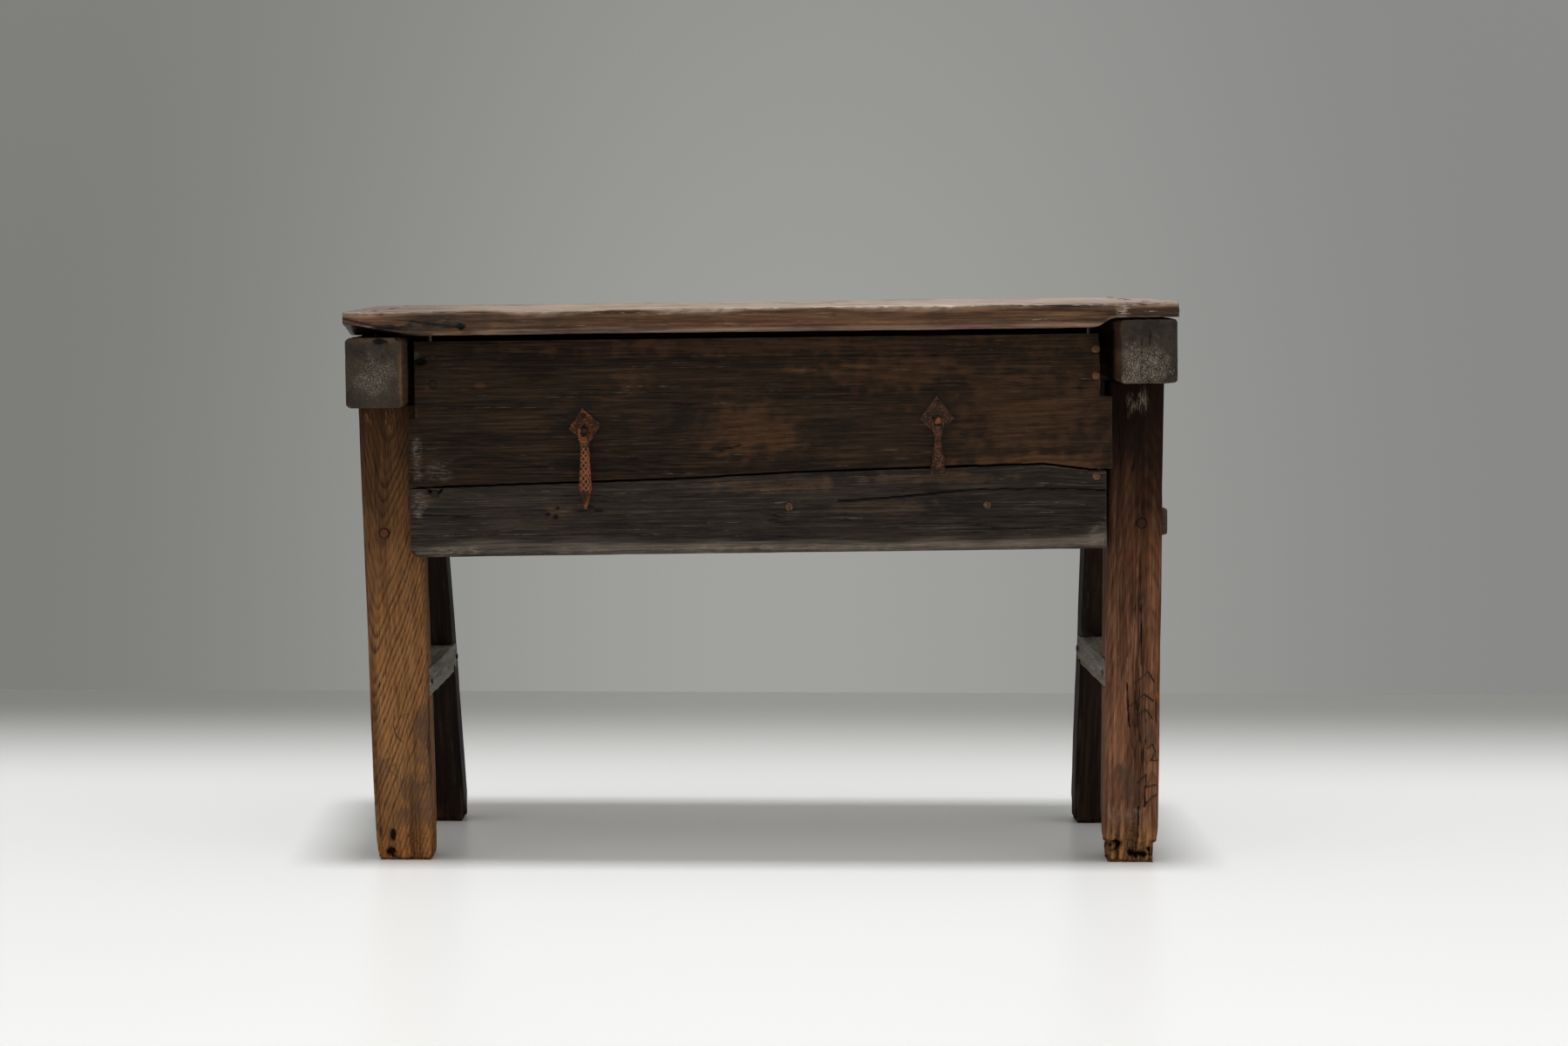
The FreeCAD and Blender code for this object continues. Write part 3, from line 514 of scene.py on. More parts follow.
class Skin:
    """A dense closed mesh of quads, held as arrays."""

    def __init__(self, points: Array, quads: Array) -> None:
        """Takes the corners and the quads, and finds the edges.

        Args:
            points: Corners, one row each.
            quads: Corner numbers, four to a row.
        """
        self.points, self.quads = points, quads
        ends = np.concatenate([quads[:, [i, (i + 1) % 4]] for i in range(4)])
        self.edges = np.unique(np.sort(ends, axis=1), axis=0)

    @classmethod
    def of_node(cls, node: str, axes: Array, origin: Array, cell: Pair) -> "Skin":
        """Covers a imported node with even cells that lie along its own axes.

        Args:
            node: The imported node.
            axes: Rows are the directions along, across and out.
            origin: The middle of the piece.
            cell: Length of a cell along the grain, and across it.

        Returns:
            The skin, in the axes of the piece.
        """
        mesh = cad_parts[node].data
        corners = np.array([vertex.co for vertex in mesh.vertices])
        local = (corners - origin) @ axes.T
        squeeze = np.array([cell[1] / cell[0], 1.0, 1.0])
        welded, place = np.unique(np.round(local * 1e7).astype(np.int64), axis=0, return_inverse=True)
        faces = [[int(place.ravel()[i]) for i in polygon.vertices] for polygon in mesh.polygons]
        faces = [face for face in faces if len(set(face)) == len(face)]
        rough = bpy.data.meshes.new("rough")
        rough.from_pydata((welded / 1e7 * squeeze).tolist(), [], faces)
        holder = bpy.data.objects.new("rough", rough)
        bpy.context.scene.collection.objects.link(holder)
        remesh = holder.modifiers.new("cells", "REMESH")
        remesh.mode, remesh.voxel_size, remesh.adaptivity = "VOXEL", cell[1], 0.0
        dense = holder.evaluated_get(bpy.context.evaluated_depsgraph_get()).to_mesh()
        points = np.zeros(len(dense.vertices) * 3)
        dense.vertices.foreach_get("co", points)
        quads = np.zeros(len(dense.loops), np.int32)
        dense.loops.foreach_get("vertex_index", quads)
        bpy.data.objects.remove(holder)
        bpy.data.meshes.remove(rough)
        return cls(points.reshape(-1, 3) / squeeze, quads.reshape(-1, 4))

    def normals(self) -> Array:
        """Finds the directions out of the skin.

        Returns:
            A unit vector for each corner.
        """
        a, b, c, d = (self.points[self.quads[:, i]] for i in range(4))
        face = np.cross(c - a, d - b)
        total = np.zeros_like(self.points)
        for axis in range(3):
            for corner in range(4):
                total[:, axis] += np.bincount(self.quads[:, corner], face[:, axis], len(total))
        return total / np.maximum(np.linalg.norm(total, axis=1, keepdims=True), 1e-12)

    def relaxed(self, rounds: int) -> Array:
        """Draws each corner towards its neighbours.

        Args:
            rounds: How many times.

        Returns:
            The softened corners.
        """
        first, second = self.edges.T
        gap = np.linalg.norm(self.points[first] - self.points[second], axis=1)
        pull = 1 / (gap ** 2 + 1e-9)
        count = len(self.points)
        weight = np.bincount(first, pull, count) + np.bincount(second, pull, count)
        soft = self.points.copy()
        for _ in range(rounds):
            drawn = [np.bincount(first, pull * soft[second, axis], count)
                     + np.bincount(second, pull * soft[first, axis], count) for axis in range(3)]
            soft = 0.4 * soft + 0.6 * np.stack(drawn, axis=1) / weight[:, None]
        return soft

    def piece(self, name: str, axes: Array, origin: Array, marks: dict[str, Array]) -> bpy.types.Object:
        """Makes the object, with its corners in the row frame.

        Args:
            name: Name of the piece.
            axes: Rows are the directions along, across and out.
            origin: The middle of the piece.
            marks: Vectors for the mesh to carry, by name.

        Returns:
            The object.
        """
        mesh = bpy.data.meshes.new(name)
        mesh.from_pydata((self.points @ axes + origin).tolist(), [], self.quads.tolist())
        mesh.polygons.foreach_set("use_smooth", np.ones(len(self.quads), bool))
        for mark, vectors in marks.items():
            layer = mesh.attributes.new(mark, "FLOAT_VECTOR", "POINT")
            layer.data.foreach_set("vector", np.asarray(vectors, np.float32).ravel())
        made = bpy.data.objects.new(name, mesh)
        bpy.context.scene.collection.objects.link(made)
        return made


@dataclass(frozen=True)
class Wear:
    """How far age has worn a timber, in metres and shares. Wood is only taken away."""

    arris: float = 0.25
    chips: float = 0.9
    chip_length: float = 0.05
    rounds: int = 12
    hew: float = 0.0012
    hew_length: float = 0.17
    furrow: float = 0.0005
    rot: float = 0.0
    lip: float = 0.0


@dataclass(frozen=True)
class Mark:
    """A patch of another colour, placed as seen from the front."""

    tint: Tint
    at: Pair
    reach: Pair
    strength: float = 0.7

    def share(self, place: Array, ragged: Array) -> Array:
        """How far each place lies in the patch."""
        away = np.linalg.norm((place[:, [0, 2]] - self.at) / np.array(self.reach), axis=1)
        return self.strength * (1 - smooth(away + ragged, 0.3, 1.0))


@dataclass(frozen=True)
class Pit:
    """A hole or cavity, placed as seen from the front."""

    at: Pair
    reach: Pair
    depth: float
    # How dark the hole is painted: painted shade inside it, with its dirt.
    stain: float = 1.6

    def share(self, place: Array, ragged: Array) -> Array:
        """How far each place lies in the cavity."""
        away = np.linalg.norm((place[:, [0, 2]] - self.at) / np.array(self.reach), axis=1)
        return 1 - smooth(away + ragged, 0.5, 1.0)


@dataclass(frozen=True)
class Crack:
    """An open crack through points that are seen from the front."""

    route: tuple[Pair, ...]
    width: float = 0.0016
    depth: float = 0.003
    # How dark the crack is painted: painted shade inside it, with its dirt.
    stain: float = 1.6

    def share(self, place: Array, ragged: Array) -> Array:
        """Measures how far each place lies in the crack.

        Args:
            place: Places in the frame of the table.
            ragged: Unevenness of each place.

        Returns:
            A share from 0 to 1 for each place.
        """
        spot = place[:, [0, 2]] + ragged[:, None] * 0.0015
        nearest = np.full(len(spot), np.inf)
        for start, end in zip(np.array(self.route)[:-1], np.array(self.route)[1:]):
            step = end - start
            share = np.clip((spot - start) @ step / (step @ step), 0, 1)
            nearest = np.minimum(nearest, np.linalg.norm(spot - start - share[:, None] * step, axis=1))
        return 1 - smooth(nearest, self.width * 0.3, self.width)


Cut = Pit | Crack


@dataclass
class Timber:
    """One wooden piece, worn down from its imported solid."""

    node: str
    slot: Slot
    along: Triple
    across: Triple
    seed: int
    wear: Wear = field(default_factory=Wear)
    cell: Pair = (0.005, 0.0020)
    body: Body = Body.FRAME
    marks: tuple[Mark, ...] = ()
    cuts: tuple[Cut, ...] = ()

    def axes(self) -> Array:
        """Sets the timber's own directions at right angles.

        Returns:
            Rows along the grain, across it and out of the face.
        """
        along = np.array(self.along) / np.linalg.norm(self.along)
        across = np.array(self.across) - along * np.dot(self.across, along)
        across = across / np.linalg.norm(across)
        return np.array([along, across, np.cross(along, across)])

    def origin(self) -> Array:
        """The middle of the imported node."""
        low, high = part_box(self.node)
        return np.array((low + high) / 2)

    def shape(self, skin: Skin, out: Array, state: Array, tints: Array) -> None:
        """Gives the piece forms of its own. A plain timber has none."""

    def decay(self, fresh: Array, level: Array, state: Array, tints: Array) -> Array:
        """Rots the foot of a timber.

        Args:
            fresh: Corners before wear.
            level: Height of each corner over the floor.
            state: Wear, rot and end grain of each corner, which gains the rot.
            tints: Stain, scuff and amber of each corner, which gains black hollows: painted shade under the
                lip, with the dirt of the rot.

        Returns:
            How deep each corner has rotted.
        """
        ragged = cloudy(fresh, (0.05, 0.012, 0.012), self.seed + 3) * 0.4
        state[:, 1] = 0.9 * (1 - smooth(level / self.wear.rot + ragged, 0.2, 1.2))
        soft = np.clip(0.5 + 0.5 * cloudy(fresh, (0.03, 0.008, 0.008), self.seed + 4, 4), 0, 1)
        depth = state[:, 1] * (0.0006 + 0.0035 * soft)
        torn = cloudy(fresh, (0.02, 0.014, 0.014), self.seed + 6)
        below = 1 - smooth(level + 0.010 * torn, self.wear.lip - 0.0025, self.wear.lip + 0.0025)
        hollow = np.clip(0.5 + 0.6 * cloudy(fresh, (0.016, 0.014, 0.014), self.seed + 7, 4), 0, 1)
        # Painted shade: black in the deep hollows under the lip, with the dirt of the rot.
        tints[:, 0] = np.maximum(tints[:, 0], below * smooth(hollow, 0.45, 0.75))
        return depth + below * (self.wear.lip * 0.13 + 0.010 * hollow ** 2)

    def level_out(self, out: Array) -> Array:
        """Turns the directions out of a foot level, so that it stays flat on the floor.

        Args:
            out: Directions out of the timber, in its own axes.

        Returns:
            Level directions, and none in the middle of the sole.
        """
        flat = out @ self.axes()
        flat[:, 2] = 0.0
        length = np.linalg.norm(flat, axis=1, keepdims=True)
        return flat / np.maximum(length, 0.35) @ self.axes().T

    def mark(self, skin: Skin, out: Array, tints: Array) -> None:
        """Cuts the holes and cracks that show in front, paints shade into them, and lays the patches of
        colour.

        Args:
            skin: The timber.
            out: Directions out of it.
            tints: Stain, scuff and amber of each corner.
        """
        axes, origin = self.axes(), self.origin()
        place = table_place(skin.points @ axes + origin)
        facing = smooth(-(out @ axes)[:, 1], 0.25, 0.6)
        ragged = cloudy(place, (0.012, 0.012, 0.012), self.seed + 5, 4) * 0.5
        for patch in self.marks:
            column = tints[:, patch.tint.value]
            np.maximum(column, facing * patch.share(place, ragged), out=column)
        for cut in self.cuts:
            share = facing * cut.share(place, ragged)
            # Painted shade: holes and cracks are painted dark inside, with their dirt.
            tints[:, 0] = np.maximum(tints[:, 0], share * cut.stain)
            skin.points -= out * (cut.depth * share)[:, None]

    def build(self) -> bpy.types.Object:
        """Carves the worn timber.

        Returns:
            The piece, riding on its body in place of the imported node.
        """
        axes, origin, wear = self.axes(), self.origin(), self.wear
        skin = Skin.of_node(self.node, axes, origin, self.cell)
        fresh, out = skin.points.copy(), skin.normals()
        soft = skin.relaxed(wear.rounds)
        inset = ((fresh - soft) * out).sum(1)
        patch = smooth(cloudy(fresh, (wear.chip_length, 0.03, 0.03), self.seed), 0.0, 0.55)
        share = wear.arris + wear.chips * patch
        skin.points = fresh + (soft - fresh) * share[:, None]
        hollow = 0.5 + 0.5 * cloudy(fresh, (wear.hew_length, 0.06, 0.06), self.seed + 1)
        groove = np.abs(cloudy(fresh, (0.11, 0.0075, 0.0075), self.seed + 2, 2))
        depth = wear.hew * np.clip(hollow, 0, 1) + wear.furrow * np.clip(1 - 2.2 * groove, 0, 1)
        state, tints = np.zeros((2, len(fresh), 3))
        state[:, 0] = smooth(inset * share, 0.0003, 0.0016)
        state[:, 2] = smooth(np.abs(out[:, 0]), 0.55, 0.9)
        if wear.rot:
            depth += self.decay(fresh, (fresh @ axes + origin)[:, 2], state, tints)
            out = self.level_out(out)
        skin.points -= out * depth[:, None]
        self.shape(skin, out, state, tints)
        self.mark(skin, out, tints)
        grain = fresh + np.array([self.seed * 3.7, 0.0, 0.0])
        made = skin.piece(f"worn_{self.node}", axes, origin,
                          {"place": fresh, "grain": grain, "state": state, "tints": np.clip(tints, 0, 1)})
        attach(made, self.body.value)
        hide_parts(self.node)
        log.info("%s: %d faces", made.name, len(skin.quads))
        return made


@dataclass
class TopPlank(Timber):
    """A plank of the top, whose upper front arris is scored by slanting cuts."""

    score_pitch: float = 0.013
    score_slant: float = 1.5
    score_reach: float = 0.013
    score_depth: float = 0.0030
    edge_depth: float = 0.012
    dust_from: float = 0.025
    dust: float = 0.18
    # Painted sheen on the upper face, weaker towards the left end.
    sheen_and_wear: float = 0.85
    sheen_from: float = -0.48
    sheen_to: float = -0.36
    # Where the dark facet at the left end stops: partly char, partly painted shade.
    char_and_shade_to: float = -0.38

    def shape(self, skin: Skin, out: Array, state: Array, tints: Array) -> None:
        """Scores the upper arris, dusts the lower one, paints a sheen on the upper face and a highlight on
        the arris, and darkens the downward facet at the left end, partly char and partly painted shade.

        Args:
            skin: The plank.
            out: Directions out of it.
            state: Wear, rot and end grain of each corner; here the wear also takes the painted sheen and
                highlight.
            tints: Stain, scuff and amber of each corner.
        """
        along, across, up = skin.points.T
        near = 1 - smooth(across - across.min(), self.edge_depth * 0.4, self.edge_depth)
        fall = up.max() - up
        slant = np.stack([along + self.score_slant * fall, fall * 0, fall * 0], axis=1)
        score = np.clip(cloudy(slant, (self.score_pitch, 1, 1), self.seed + 8, 2), 0, 1)
        wander = 0.5 + 0.5 * cloudy(slant, (0.09, 1, 1), self.seed + 9, 2)
        reach = self.score_reach * np.clip(wander, 0.15, 1)
        zone = near * (1 - np.clip(fall / reach, 0, 1))
        nick = smooth(cloudy(slant, (0.0075, 1, 1), self.seed + 10, 2), 0.2, 0.5)
        skin.points -= out * (self.score_depth * (0.2 + score + 0.6 * nick) * zone)[:, None]
        place = table_place(skin.points @ self.axes() + self.origin())
        # Painted sheen: the upper face takes the worn colour, less towards the left end. The scored arris is
        # paled as well, partly wear and partly a painted highlight.
        sheen_and_wear = smooth(out[:, 2], 0.75, 0.97) * self.sheen_and_wear
        ragged = place[:, 0] + 0.09 * cloudy(skin.points, (0.30, 0.025, 0.05), self.seed + 11, 4)
        sheen_and_wear *= 0.5 + 0.5 * smooth(ragged, self.sheen_from, self.sheen_to)
        sheen_and_wear = np.maximum(zone * (1 - score) * 0.65, sheen_and_wear)
        dust = near * smooth(fall, self.dust_from, self.dust_from + 0.004) * self.dust
        dust *= smooth(place[:, 0], self.char_and_shade_to, self.char_and_shade_to + 0.02)
        state[:, 0] = np.clip(np.maximum(state[:, 0] * 0.4, np.maximum(sheen_and_wear, dust)), 0, 1)
        # The downward facet at the left end is painted dark: partly char, partly painted shade between the
        # top and the beam.
        char_and_shade = 1 - smooth(place[:, 0], self.char_and_shade_to - 0.06, self.char_and_shade_to)
        char_and_shade = char_and_shade * smooth(-out[:, 2], 0.12, 0.4)
        tints[:, 0] = np.maximum(tints[:, 0], np.maximum(char_and_shade, zone * nick * 0.6))


@dataclass
class FrontBoard(Timber):
    """A board of the drawer front, whose split follows the wandering grain."""

    worn_edge: float = 0.0
    split: tuple[Pair, ...] = (
        (-0.467, 0.5026), (-0.310, 0.5060), (-0.083, 0.5115), (0.032, 0.5170),
        (0.258, 0.5220), (0.370, 0.5240), (0.430, 0.5160), (0.463, 0.5150))
    arc: Triple = (0.5025, 0.5205, 0.5145)
    arc_ends: Pair = (-0.468, 0.463)
    falloff: float = 0.045
    bevel: float = 0.003

    def shape(self, skin: Skin, out: Array, state: Array, tints: Array) -> None:
        """Bends the split edge, and wears a bevel along the lower one.

        Args:
            skin: The board.
            out: Directions out of it.
            state: Wear, rot and end grain of each corner.
            tints: Stain, scuff and amber of each corner; not used here.
        """
        place = table_place(skin.points @ self.axes() + self.origin())
        right, up = place[:, 0], place[:, 2]
        share = (right - self.arc_ends[0]) / (self.arc_ends[1] - self.arc_ends[0])
        low, middle, high = self.arc
        rise = 4 * middle - 3 * low - high
        arc = low + rise * share + (high - low - rise) * share ** 2
        wander = np.interp(right, *np.array(self.split).T) - arc
        skin.points[:, 1] += wander * (1 - smooth(np.abs(up - arc), 0.0, self.falloff))
        if self.worn_edge:
            rise = skin.points[:, 1] - skin.points[:, 1].min()
            uneven = 0.75 + 0.4 * cloudy(skin.points, (0.12, 0.12, 0.12), self.seed + 8)
            band = 1 - smooth(rise / uneven, self.worn_edge * 0.4, self.worn_edge)
            band = band * smooth(out[:, 2], 0.2, 0.6)
            skin.points -= out * (self.bevel * band ** 2)[:, None]
            rubbed = 0.34 + 0.24 * smooth(skin.points[:, 0], -0.35, -0.05)
            state[:, 0] = np.maximum(state[:, 0], rubbed * band)


@dataclass
class Forging:
    """Forged iron pieces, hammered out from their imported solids."""

    node: str
    body: Body
    seed: int
    cell: float = 0.0009
    rounds: int = 3
    dents: float = 0.00035
    pits: float = 0.0002
    hatched: bool = False
    swell: float = 0.0
    swell_from: float = 0.032
    swell_to: float = 0.066
    swell_side: float = 0.005
    hatch_pitch: float = 0.0085
    hatch_depth: float = 0.0007
    hatch_from: float = 0.026
    hatch_to: float = 0.086

    def hatching(self, points: Array, top: float) -> Array:
        """The crossed ridges that are filed out of a drop.

        Args:
            points: Corners of the drop, in the row frame.
            top: Level of the drop's upper end.

        Returns:
            Columns: how far each corner lies on a ridge, and how far in the filed stretch.
        """
        low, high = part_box(self.node)
        fall = top - points[:, 2]
        side = points[:, 0] - (low.x + high.x) / 2 + (fall - 0.05) * math.sin(LEAN)
        side = side + (points[:, 1] - (low.y + high.y) / 2)
        lines = np.zeros(len(points))
        for slope in (-1.25, 1.25):
            wave = ((fall + slope * side) / self.hatch_pitch) % 1.0
            lines = np.maximum(lines, 1 - smooth(np.abs(wave - 0.5), 0.05, 0.20))
        zone = smooth(fall, self.hatch_from, self.hatch_from + 0.003)
        zone = zone * (1 - smooth(fall, self.hatch_to - 0.004, self.hatch_to))
        return np.stack([lines * zone, zone], axis=1)

    def build(self) -> bpy.types.Object:
        """Hammers out the piece.

        Returns:
            The piece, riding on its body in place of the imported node.
        """
        axes, origin = np.eye(3), np.zeros(3)
        skin = Skin.of_node(self.node, axes, origin, (self.cell, self.cell))
        fresh = skin.points
        bulge = ((fresh - skin.relaxed(self.rounds * 3)) * skin.normals()).sum(1)
        skin.points = skin.relaxed(self.rounds)
        out = skin.normals()
        dent = 0.5 + 0.5 * cloudy(fresh, (0.006, 0.006, 0.006), self.seed)
        pit = 0.5 + 0.5 * cloudy(fresh, (0.002, 0.002, 0.002), self.seed + 1, 2)
        depth = self.dents * np.clip(dent, 0, 1) + self.pits * np.clip(pit, 0, 1)
        state = np.zeros((len(fresh), 3))
        state[:, 0] = smooth(bulge, 0.0001, 0.0006)
        # The hollows of the iron, which take painted shade.
        state[:, 1] = smooth(-bulge, 0.0001, 0.0005)
        if self.hatched:
            state[:, 2], zone = self.hatching(fresh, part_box(self.node)[1].z).T
            depth += self.hatch_depth * (zone - state[:, 2])
        skin.points = skin.points - out * depth[:, None]
        if self.swell:
            low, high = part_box(self.node)
            side = np.clip((fresh[:, 0] - (low.x + high.x) / 2) / self.swell_side, -1, 1)
            share = smooth(high.z - fresh[:, 2], self.swell_from, self.swell_to)
            skin.points[:, 0] += self.swell * side * share
        made = skin.piece(f"forged_{self.node}", axes, origin, {"state": state})
        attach(made, self.body.value)
        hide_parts(self.node)
        log.info("%s: %d faces", made.name, len(skin.quads))
        return made


# Sub-assemblies

@dataclass
class SubAssembly:
    """Pieces that are built together, each with the finish that it will wear."""

    pieces: list[tuple[bpy.types.Object, Finish]] = field(default_factory=list, init=False)

    def build(self) -> None:
        """Makes the pieces."""

    def dress(self) -> None:
        """Gives each piece its finish, which is made once for the whole table."""
        for piece, finish in self.pieces:
            material = bpy.data.materials.get(finish.name) or finish.material()
            piece.data.materials.clear()
            piece.data.materials.append(material)


@dataclass
class Top(SubAssembly):
    """The two thick planks, with their ragged upper arris."""

    wear: Wear = Wear(
        arris=0.2, chips=0.9, chip_length=0.03, rounds=16, hew=0.0012, hew_length=0.2, furrow=0.0006)
    cell: Pair = (0.0030, 0.0015)
    # Its worn colour also paints the sheen of the upper face and the highlight of the arris.
    finish: WoodFinish = WoodFinish(
        "worn_top_wood", dark=tone(34, 21, 13), mid=tone(90, 62, 43), pale=tone(122, 89, 63),
        worn=tone(198, 180, 163), bruise=tone(36, 31, 25), amber=tone(104, 70, 42),
        rings=Rings((0.1, -0.2), taper=0.02, gap=0.008, share=0.6), fine=1.5, cracks=0.5, grime=0.5,
        roughness=0.33, gloss=0.12, relief=0.6)
    marks: tuple[Mark, ...] = (
        Mark(Tint.STAIN, (-0.430, 0.719), (0.055, 0.010), 0.8),
        # Dark facet under the left end: partly char, partly painted shade between the top and the beam.
        Mark(Tint.STAIN, (-0.500, 0.716), (0.060, 0.007), 0.9),
        Mark(Tint.AMBER, (-0.490, 0.729), (0.07, 0.010), 0.5),
        Mark(Tint.AMBER, (0.10, 0.722), (0.50, 0.012), 0.35),
        Mark(Tint.SCUFF, (0.470, 0.733), (0.012, 0.020), 1.0),
        Mark(Tint.STAIN, (-0.36, 0.722), (0.16, 0.020), 0.4))
    cuts: tuple[Cut, ...] = (
        Pit((-0.390, 0.7165), (0.006, 0.005), 0.0035),
        Pit((0.469, 0.735), (0.007, 0.018), 0.0025, 0.0),
        Crack(((-0.455, 0.7245), (-0.422, 0.7195), (-0.388, 0.715)), 0.0018, 0.0020),
        Crack(((-0.543, 0.729), (-0.500, 0.7175), (-0.460, 0.7125)), 0.0018, 0.0015))

    def build(self) -> None:
        """Carves both planks."""
        for seed, node in enumerate(("top_front_plank", "top_rear_plank"), 1):
            plank = TopPlank(node, Slot.TOP, ALONG_TABLE, ACROSS_TABLE, seed, self.wear, self.cell,
                             marks=self.marks, cuts=self.cuts)
            self.pieces.append((plank.build(), self.finish))


@dataclass
class Beams(SubAssembly):
    """The beams under the ends of the top, with weathered end grain."""

    wear: Wear = Wear(arris=0.2, chips=0.8, rounds=12, hew=0.0014)
    cell: Pair = (0.004, 0.0015)
    finish: WoodFinish = WoodFinish(
        "beam_wood", dark=tone(44, 32, 23), mid=tone(78, 57, 40), pale=tone(104, 80, 58),
        worn=tone(142, 130, 116), amber=tone(106, 78, 48), end=tone(55, 48, 41), soot_and_shade=tone(28, 24, 21),
        bruise=tone(34, 29, 25), rings=Rings((0.05, 0.03), gap=0.006, share=0.3), cracks=0.4,
        roughness=0.62)
    left_marks: tuple[Mark, ...] = (
        # Amber strip on the inner side near the front: painted light on that side, with the raw wood of its
        # worn corner.
        Mark(Tint.AMBER, (-0.4630, 0.655), (0.010, 0.070), 0.7),
        Mark(Tint.SCUFF, (-0.503, 0.650), (0.034, 0.034), 0.6),
        Mark(Tint.STAIN, (-0.530, 0.625), (0.018, 0.025), 0.6),
        Mark(Tint.AMBER, (-0.50, 0.700), (0.05, 0.006), 0.35),
        Mark(Tint.STAIN, (-0.530, 0.690), (0.02, 0.02), 0.5))
    left_notches: tuple[Pit, ...] = (
        Pit((-0.497, 0.699), (0.013, 0.006), 0.005),
        Pit((-0.468, 0.702), (0.008, 0.004), 0.004))
    right_marks: tuple[Mark, ...] = (
        Mark(Tint.SCUFF, (0.497, 0.652), (0.044, 0.036), 1.0),
        Mark(Tint.STAIN, (0.532, 0.648), (0.014, 0.018), 0.8),
        Mark(Tint.STAIN, (0.505, 0.700), (0.05, 0.016), 0.6))
    right_cracks: tuple[Crack, ...] = (
        Crack(((0.494, 0.690), (0.4935, 0.668), (0.4945, 0.640)), 0.0012, 0.002),
        Crack(((0.505, 0.700), (0.5055, 0.682)), 0.0012, 0.002))

    def build(self) -> None:
        """Carves both beams."""
        left = Timber("left_beam", Slot.BEAMS, ACROSS_TABLE, ALONG_TABLE, 5, self.wear, self.cell,
                      marks=self.left_marks, cuts=self.left_notches)
        right = Timber("right_beam", Slot.BEAMS, ACROSS_TABLE, ALONG_TABLE, 6, self.wear, self.cell,
                       marks=self.right_marks, cuts=self.right_cracks)
        self.pieces = [(beam.build(), self.finish) for beam in (left, right)]


@dataclass
class Leg:
    """One leg: how it leans, how its foot has rotted, and its look."""

    end: End
    side: Side
    toe_in: float
    rot: float
    lip: float
    finish: WoodFinish
    marks: tuple[Mark, ...] = ()
    cuts: tuple[Cut, ...] = ()

    def node(self) -> str:
        """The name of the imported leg."""
        return f"{self.end.name}_{self.side.name}_leg".lower()

    def direction(self) -> Triple:
        """The way up along the leg."""
        sideways = math.tan(math.radians(self.toe_in) * self.side.value - LEAN)
        return (sideways, -self.end.value * math.tan(SPLAY), 1.0)


